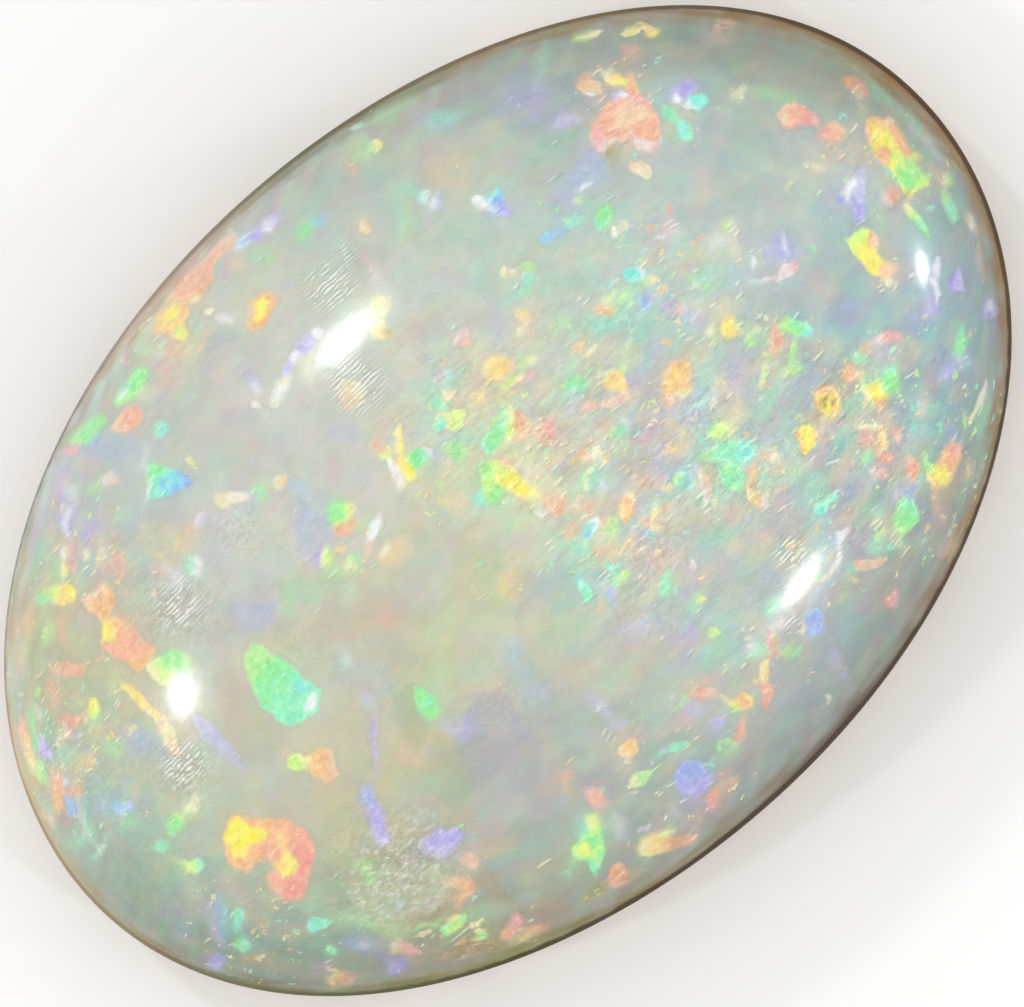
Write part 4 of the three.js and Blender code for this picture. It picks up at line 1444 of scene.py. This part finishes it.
def opalMaterial():
    material = bpy.data.materials.new("milky_opal")
    material.use_nodes = True
    material.node_tree.nodes.clear()
    kit = Wire(material.node_tree)
    place = kit.put("ShaderNodeTexCoord", outlet="Object")

    def attribute(name, outlet="Fac"):
        return kit.put("ShaderNodeAttribute", {"attribute_name": name}, outlet=outlet)

    def noiseOf(place, size, detail=1.0, outlet=0):
        links = {"Vector": place, "Scale": 1 / (size * mm), "Detail": detail}
        return kit.put("ShaderNodeTexNoise", {}, links, outlet)

    def cellsOf(place, size, distance="EUCLIDEAN"):
        # a pattern of cells, and random numbers for each
        links = {"Vector": place, "Scale": 1 / (size * mm)}
        cell = kit.put("ShaderNodeTexVoronoi", {"distance": distance}, links)
        return cell, kit.put("ShaderNodeSeparateColor", {}, {0: cell.outlet("Color")})

    def stretched(length):
        links = {"Vector": place, "Scale": (length, 1, 1)}
        return kit.put("ShaderNodeMapping", {"vector_type": "TEXTURE"}, links)

    def vectorMaths(operation, first, second, socket=1):
        return kit.put("ShaderNodeVectorMath", {"operation": operation}, {0: first, socket: second})

    def pushed(length, size, detail, depth):
        push = vectorMaths("SUBTRACT", noiseOf(place, size, detail, "Color"), (0.5, 0.5, 0.5))
        push = vectorMaths("SCALE", push, depth * mm, "Scale")
        return vectorMaths("ADD", stretched(length), push)

    bodyTone = attribute("bodyTone", "Color")
    flashTone = attribute("flashTone", "Color")
    flashEdge = attribute("flashEdge")
    flashPower = attribute("flashPower")
    pinfire = attribute("pinfire")
    grain = attribute("grain")
    wheelMarks = attribute("wheelMarks").maths("MINIMUM", 1.0)
    squiggles = attribute("squiggles").maths("MINIMUM", 1.0)
    ground = attribute("ground")

    # flecks and motes of pinfire, drawn out along the stone and pushed about to be ragged
    ragged = pushed(*opal["fleckPush"])
    beside = flashEdge.ramp(*opal["nearFlash"], opal["sparse"], 1.0) * pinfire

    def flecks(size, share, least, strength, turn):
        # ragged flecks, as a mask and a tone
        cell, random = cellsOf(ragged, size, "MANHATTAN")
        chosen = (random - (1 - (beside * share + least))).ramp(0.0, 0.02)
        tone = kit.put("ShaderNodeValToRGB", {"stops": opal["fleckTones"]},
                       {0: (random.outlet(1) + turn).maths("FRACT")})
        return chosen * cell.ramp(*opal["fleckEdge"]) * strength, tone

    fleckMask, fleckTone = flecks(**opal["flecks"])
    moteMask, moteTone = flecks(**opal["motes"])
    colour = bodyTone.blend(pinfire * opal["veil"], fleckTone)
    colour = colour.blend(fleckMask, fleckTone)
    colour = colour.blend(moteMask, moteTone)

    # the flashes that are read from the photograph, with a darker gap and a light lip round each
    crumble = noiseOf(place, opal["crumbleSize"], 2.0)
    needles = noiseOf(stretched(opal["needleStretch"]), opal["needleSize"], 1.5) - 0.5
    distance = flashEdge + (crumble - 0.5) * opal["crumbleDepth"] + needles * opal["needleDepth"]
    soft = noiseOf(place, opal["softnessSize"], 0.0).ramp(0.44, 0.6, *opal["edgeSoftness"])
    flashMask = distance.ramp(soft, soft * -1) * flashPower
    flash = flashTone.times(crumble.ramp(0.36, 0.5, *opal["flashRange"]))
    flash = flash.blend(crumble.ramp(0.5, 0.66) * opal["flashLightShare"], opal["flashLight"])
    gap = (distance - opal["gapOut"]).maths("ABSOLUTE").ramp(opal["lineWidth"], 0.0)
    colour = colour.times(1 - gap * flashPower * opal["gapDark"])
    colour = colour.blend(flashMask, flash)
    lip = (distance + opal["lipIn"]).maths("ABSOLUTE").ramp(opal["lineWidth"], 0.0)
    lip = lip * needles.ramp(-0.06, 0.12) * flashMask
    everywhere, inPinfire = opal["lipStrength"]
    colour = colour.blend(lip * (pinfire * inPinfire + everywhere), opal["lipTone"])

    # luminous dashes, mostly beside and in the flashes, each dark on one side
    swayed = pushed(*opal["dashPush"])
    dash, random = cellsOf(swayed, opal["dashSpacing"])
    offset = vectorMaths("SUBTRACT", swayed, dash.outlet("Position"))
    aside = kit.put("ShaderNodeSeparateXYZ", {}, {0: offset})
    amount = beside.maths("MAXIMUM", flashMask * opal["dashInFlash"])
    chosen = (random - (1 - amount * opal["dashShare"])).ramp(0.0, 0.02)
    along = aside * (2 * opal["dashPush"][0] / (opal["dashLength"] * mm))
    across = aside.outlet("Y") * (2 / (opal["dashWidth"] * mm))

    def lens(side):
        # a dash with pointed ends
        far = side * side + along * along
        return far.ramp(1.0, 0.05) * chosen

    dashTone = kit.put("ShaderNodeValToRGB", {"stops": opal["dashTones"]}, {0: random.outlet(1)})
    tint = flashEdge.ramp(opal["dashReach"], 0.0, 0.0, opal["dashTint"])
    dashTone = dashTone.blend(tint, flashTone.times(opal["dashLift"]))
    colour = colour.times(1 - lens(across + opal["darkAside"]) * opal["dashDark"])
    colour = colour.blend(lens(across) * opal["dashLight"], dashTone)

    # crackle and grit, light on one side and dark on the other, and the wavering strokes of the wheel, which
    # are painted glints and dark lines of the polish beside the lamps' reflections; the grit's light specks
    # in the squiggles are partly painted sparkle
    crackle = noiseOf(stretched(opal["crackleStretch"]), opal["crackleSize"], 2.0)
    emboss = kit.put("ShaderNodeValToRGB", {"stops": opal["emboss"]}, {0: crackle})
    depth = opal["embossDepth"]
    rough = grain * depth["grain"] + flashMask * depth["flashes"] + squiggles * depth["squiggles"]
    rough = rough + depth["all"]
    grit = noiseOf(stretched(opal["gritStretch"]), opal["gritSize"], 0.5)
    speckle = grit.ramp(0.56, 0.68) - grit.ramp(0.46, 0.34) * opal["gritDark"]
    lines = kit.put("ShaderNodeTexWave", {"bands_direction": "Y"}, {
        "Vector": stretched(opal["wheelStretch"]), "Scale": math.pi / 10 / (opal["wheelSpacing"] * mm),
        **opal["wheelWaver"],
    }, 1)
    strokes = lines.ramp(0.25, 0.75, -0.5, 0.5) * wheelMarks * crackle.ramp(0.4, 0.54)
    everywhere, inPinfire = opal["needleShade"]
    shade = (emboss - 0.5) * rough + needles * (beside * inPinfire + everywhere)
    shade = shade + strokes.maths("MINIMUM", 0.0) * opal["wheelShade"]
    shade = shade + speckle.maths("MINIMUM", 0.0) * squiggles * opal["gritShade"]
    colour = colour.times(1 + shade)
    shine = speckle.maths("MAXIMUM", 0.0) * squiggles * opal["gritShine"]
    shine = strokes.ramp(0.1, 0.5) * opal["wheelShine"] + shine
    colour = colour.blend(shine, opal["shineTone"])

    # the polish: nearly a mirror, with a slight roll and the fine marks of the wheel
    relief = noiseOf(place, opal["rollSize"], 0.0) + strokes * opal["wheelDepth"]
    bump = kit.put("ShaderNodeBump", {}, {
        "Strength": opal["bumpStrength"], "Distance": opal["rollDepth"] * mm, "Height": relief,
    })
    # the flashes also glow faintly through emission, a painted glow
    shader = kit.put("ShaderNodeBsdfPrincipled", {}, {
        "Base Color": colour, "Roughness": crumble.ramp(0.3, 0.7, *opal["polish"]), "IOR": opal["bending"],
        "Coat Weight": opal["haze"], "Coat Roughness": opal["hazeRoughness"], "Normal": bump,
        "Emission Color": flash.times(flashMask), "Emission Strength": opal["glowStrength"],
    })
    # the rim and the back are only ground, and stay dull
    dull = kit.put("ShaderNodeBsdfPrincipled", {}, {
        "Base Color": colour, "Roughness": opal["groundRoughness"], "IOR": opal["bending"],
        "Specular IOR Level": opal["groundGloss"],
    })
    whole = kit.put("ShaderNodeMixShader", {}, {0: ground, 1: shader, 2: dull})
    kit.put("ShaderNodeOutputMaterial", {}, {0: whole})
    return material


stone.data.materials.append(opalMaterial())
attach(stone, "root")
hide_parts("opal_cabochon")
print("opal finished")

# Plain soft studio light. Each lamp stands where the stone mirrors it at that point of the photograph,
# and has a length along the stone and a width across it.
studio = {
    "skyStrength": 0.88,
    "lampDistance": 0.34,
    "lampLight": 58.0, # brightness of a lamp's face
    "lamps": {
        "upper left": (346, 337, 0.021, 0.036),
        "left": (181, 698, 0.024, 0.031),
        "right": (924, 266, 0.031, 0.024),
        "lower right": (800, 585, 0.028, 0.031),
    },
    "floorSize": 3.0,
    "floorTone": 0.97,
    "floorRoughness": 0.9,
    "floorGloss": 0.1,
    "floorHeight": 0.02 * mm, # the stone is sunk in by this much, so that its back isn't in the floor's plane
    "cameraReach": (0.01, 20),
}


def axesMatrix(x, y, z, place):
    matrix = Matrix((x, y, z)).transposed().to_4x4()
    matrix.translation = place
    return matrix


def hangLamp(name, spot, mirrored, length, width):
    # a lamp's light is its brightness over its oval face
    light = bpy.data.lights.new("lamp " + name, "AREA")
    light.shape = "ELLIPSE"
    light.size = length
    light.size_y = width
    light.energy = studio["lampLight"] * math.pi * math.pi / 4 * length * width
    widthWay = mirrored.cross(Vector((1, 0, 0))).normalized()
    lengthWay = widthWay.cross(mirrored)
    place = spot + mirrored * studio["lampDistance"]
    addObject("lamp " + name, light).matrix_world = axesMatrix(lengthWay, widthWay, mirrored, place)


def lightStudio(mesh, points):
    place, right, up, toCamera = cameraAxes()
    across, down = toPhoto(points)
    normals = normalsOf(mesh)
    shown = normals @ np.array(toCamera) > 0.05
    for name, (x, y, length, width) in studio["lamps"].items():
        gap = np.where(shown, (across - x) ** 2 + (down - y) ** 2, 1e9)
        nearest = int(np.argmin(gap))
        spot, normal = Vector(points[nearest]), Vector(normals[nearest])
        view = (place - spot).normalized()
        hangLamp(name, spot, 2 * normal.dot(view) * normal - view, length, width)
    world = bpy.data.worlds.new("soft sky")
    world.use_nodes = True
    background = world.node_tree.nodes["Background"]
    background.inputs["Color"].default_value = (1, 1, 1, 1)
    background.inputs["Strength"].default_value = studio["skyStrength"]
    bpy.context.scene.world = world


def floorMaterial():
    material = bpy.data.materials.new("pale_floor")
    material.use_nodes = True
    shader = material.node_tree.nodes["Principled BSDF"]
    tone = studio["floorTone"]
    shader.inputs["Base Color"].default_value = (tone, tone, tone, 1)
    shader.inputs["Roughness"].default_value = studio["floorRoughness"]
    shader.inputs["Specular IOR Level"].default_value = studio["floorGloss"]
    # from below the floor is clear, so that the stone's back can be looked at
    kit = Wire(material.node_tree)
    below = kit.put("ShaderNodeNewGeometry", outlet="Backfacing")
    clear = kit.put("ShaderNodeBsdfTransparent")
    whole = kit.put("ShaderNodeMixShader", {}, {0: below, 1: Wire(kit.tree, shader.outputs[0]), 2: clear})
    kit.tree.links.new(whole.socket, kit.tree.nodes["Material Output"].inputs["Surface"])
    return material


def layFloor():
    mesh = bpy.data.meshes.new("pale_floor")
    bm = bmesh.new()
    bmesh.ops.create_grid(bm, x_segments=1, y_segments=1, size=studio["floorSize"] / 2)
    bm.to_mesh(mesh)
    bm.free()
    mesh.materials.append(floorMaterial())
    floor = addObject("pale_floor", mesh)
    floor.location.z = studio["floorHeight"]


def placeCamera():
    place, right, up, toCamera = cameraAxes()
    data = bpy.data.cameras.new("camera")
    data.lens = photoView["lens"]
    data.sensor_width = photoView["sensor"]
    data.clip_start, data.clip_end = studio["cameraReach"]
    camera = addObject("camera", data)
    camera.matrix_world = axesMatrix(right, up, toCamera, place)
    bpy.context.scene.camera = camera


lightStudio(stone.data, points)
layFloor()
placeCamera()
bpy.context.scene.view_settings.view_transform = "Standard"
print("studio set")
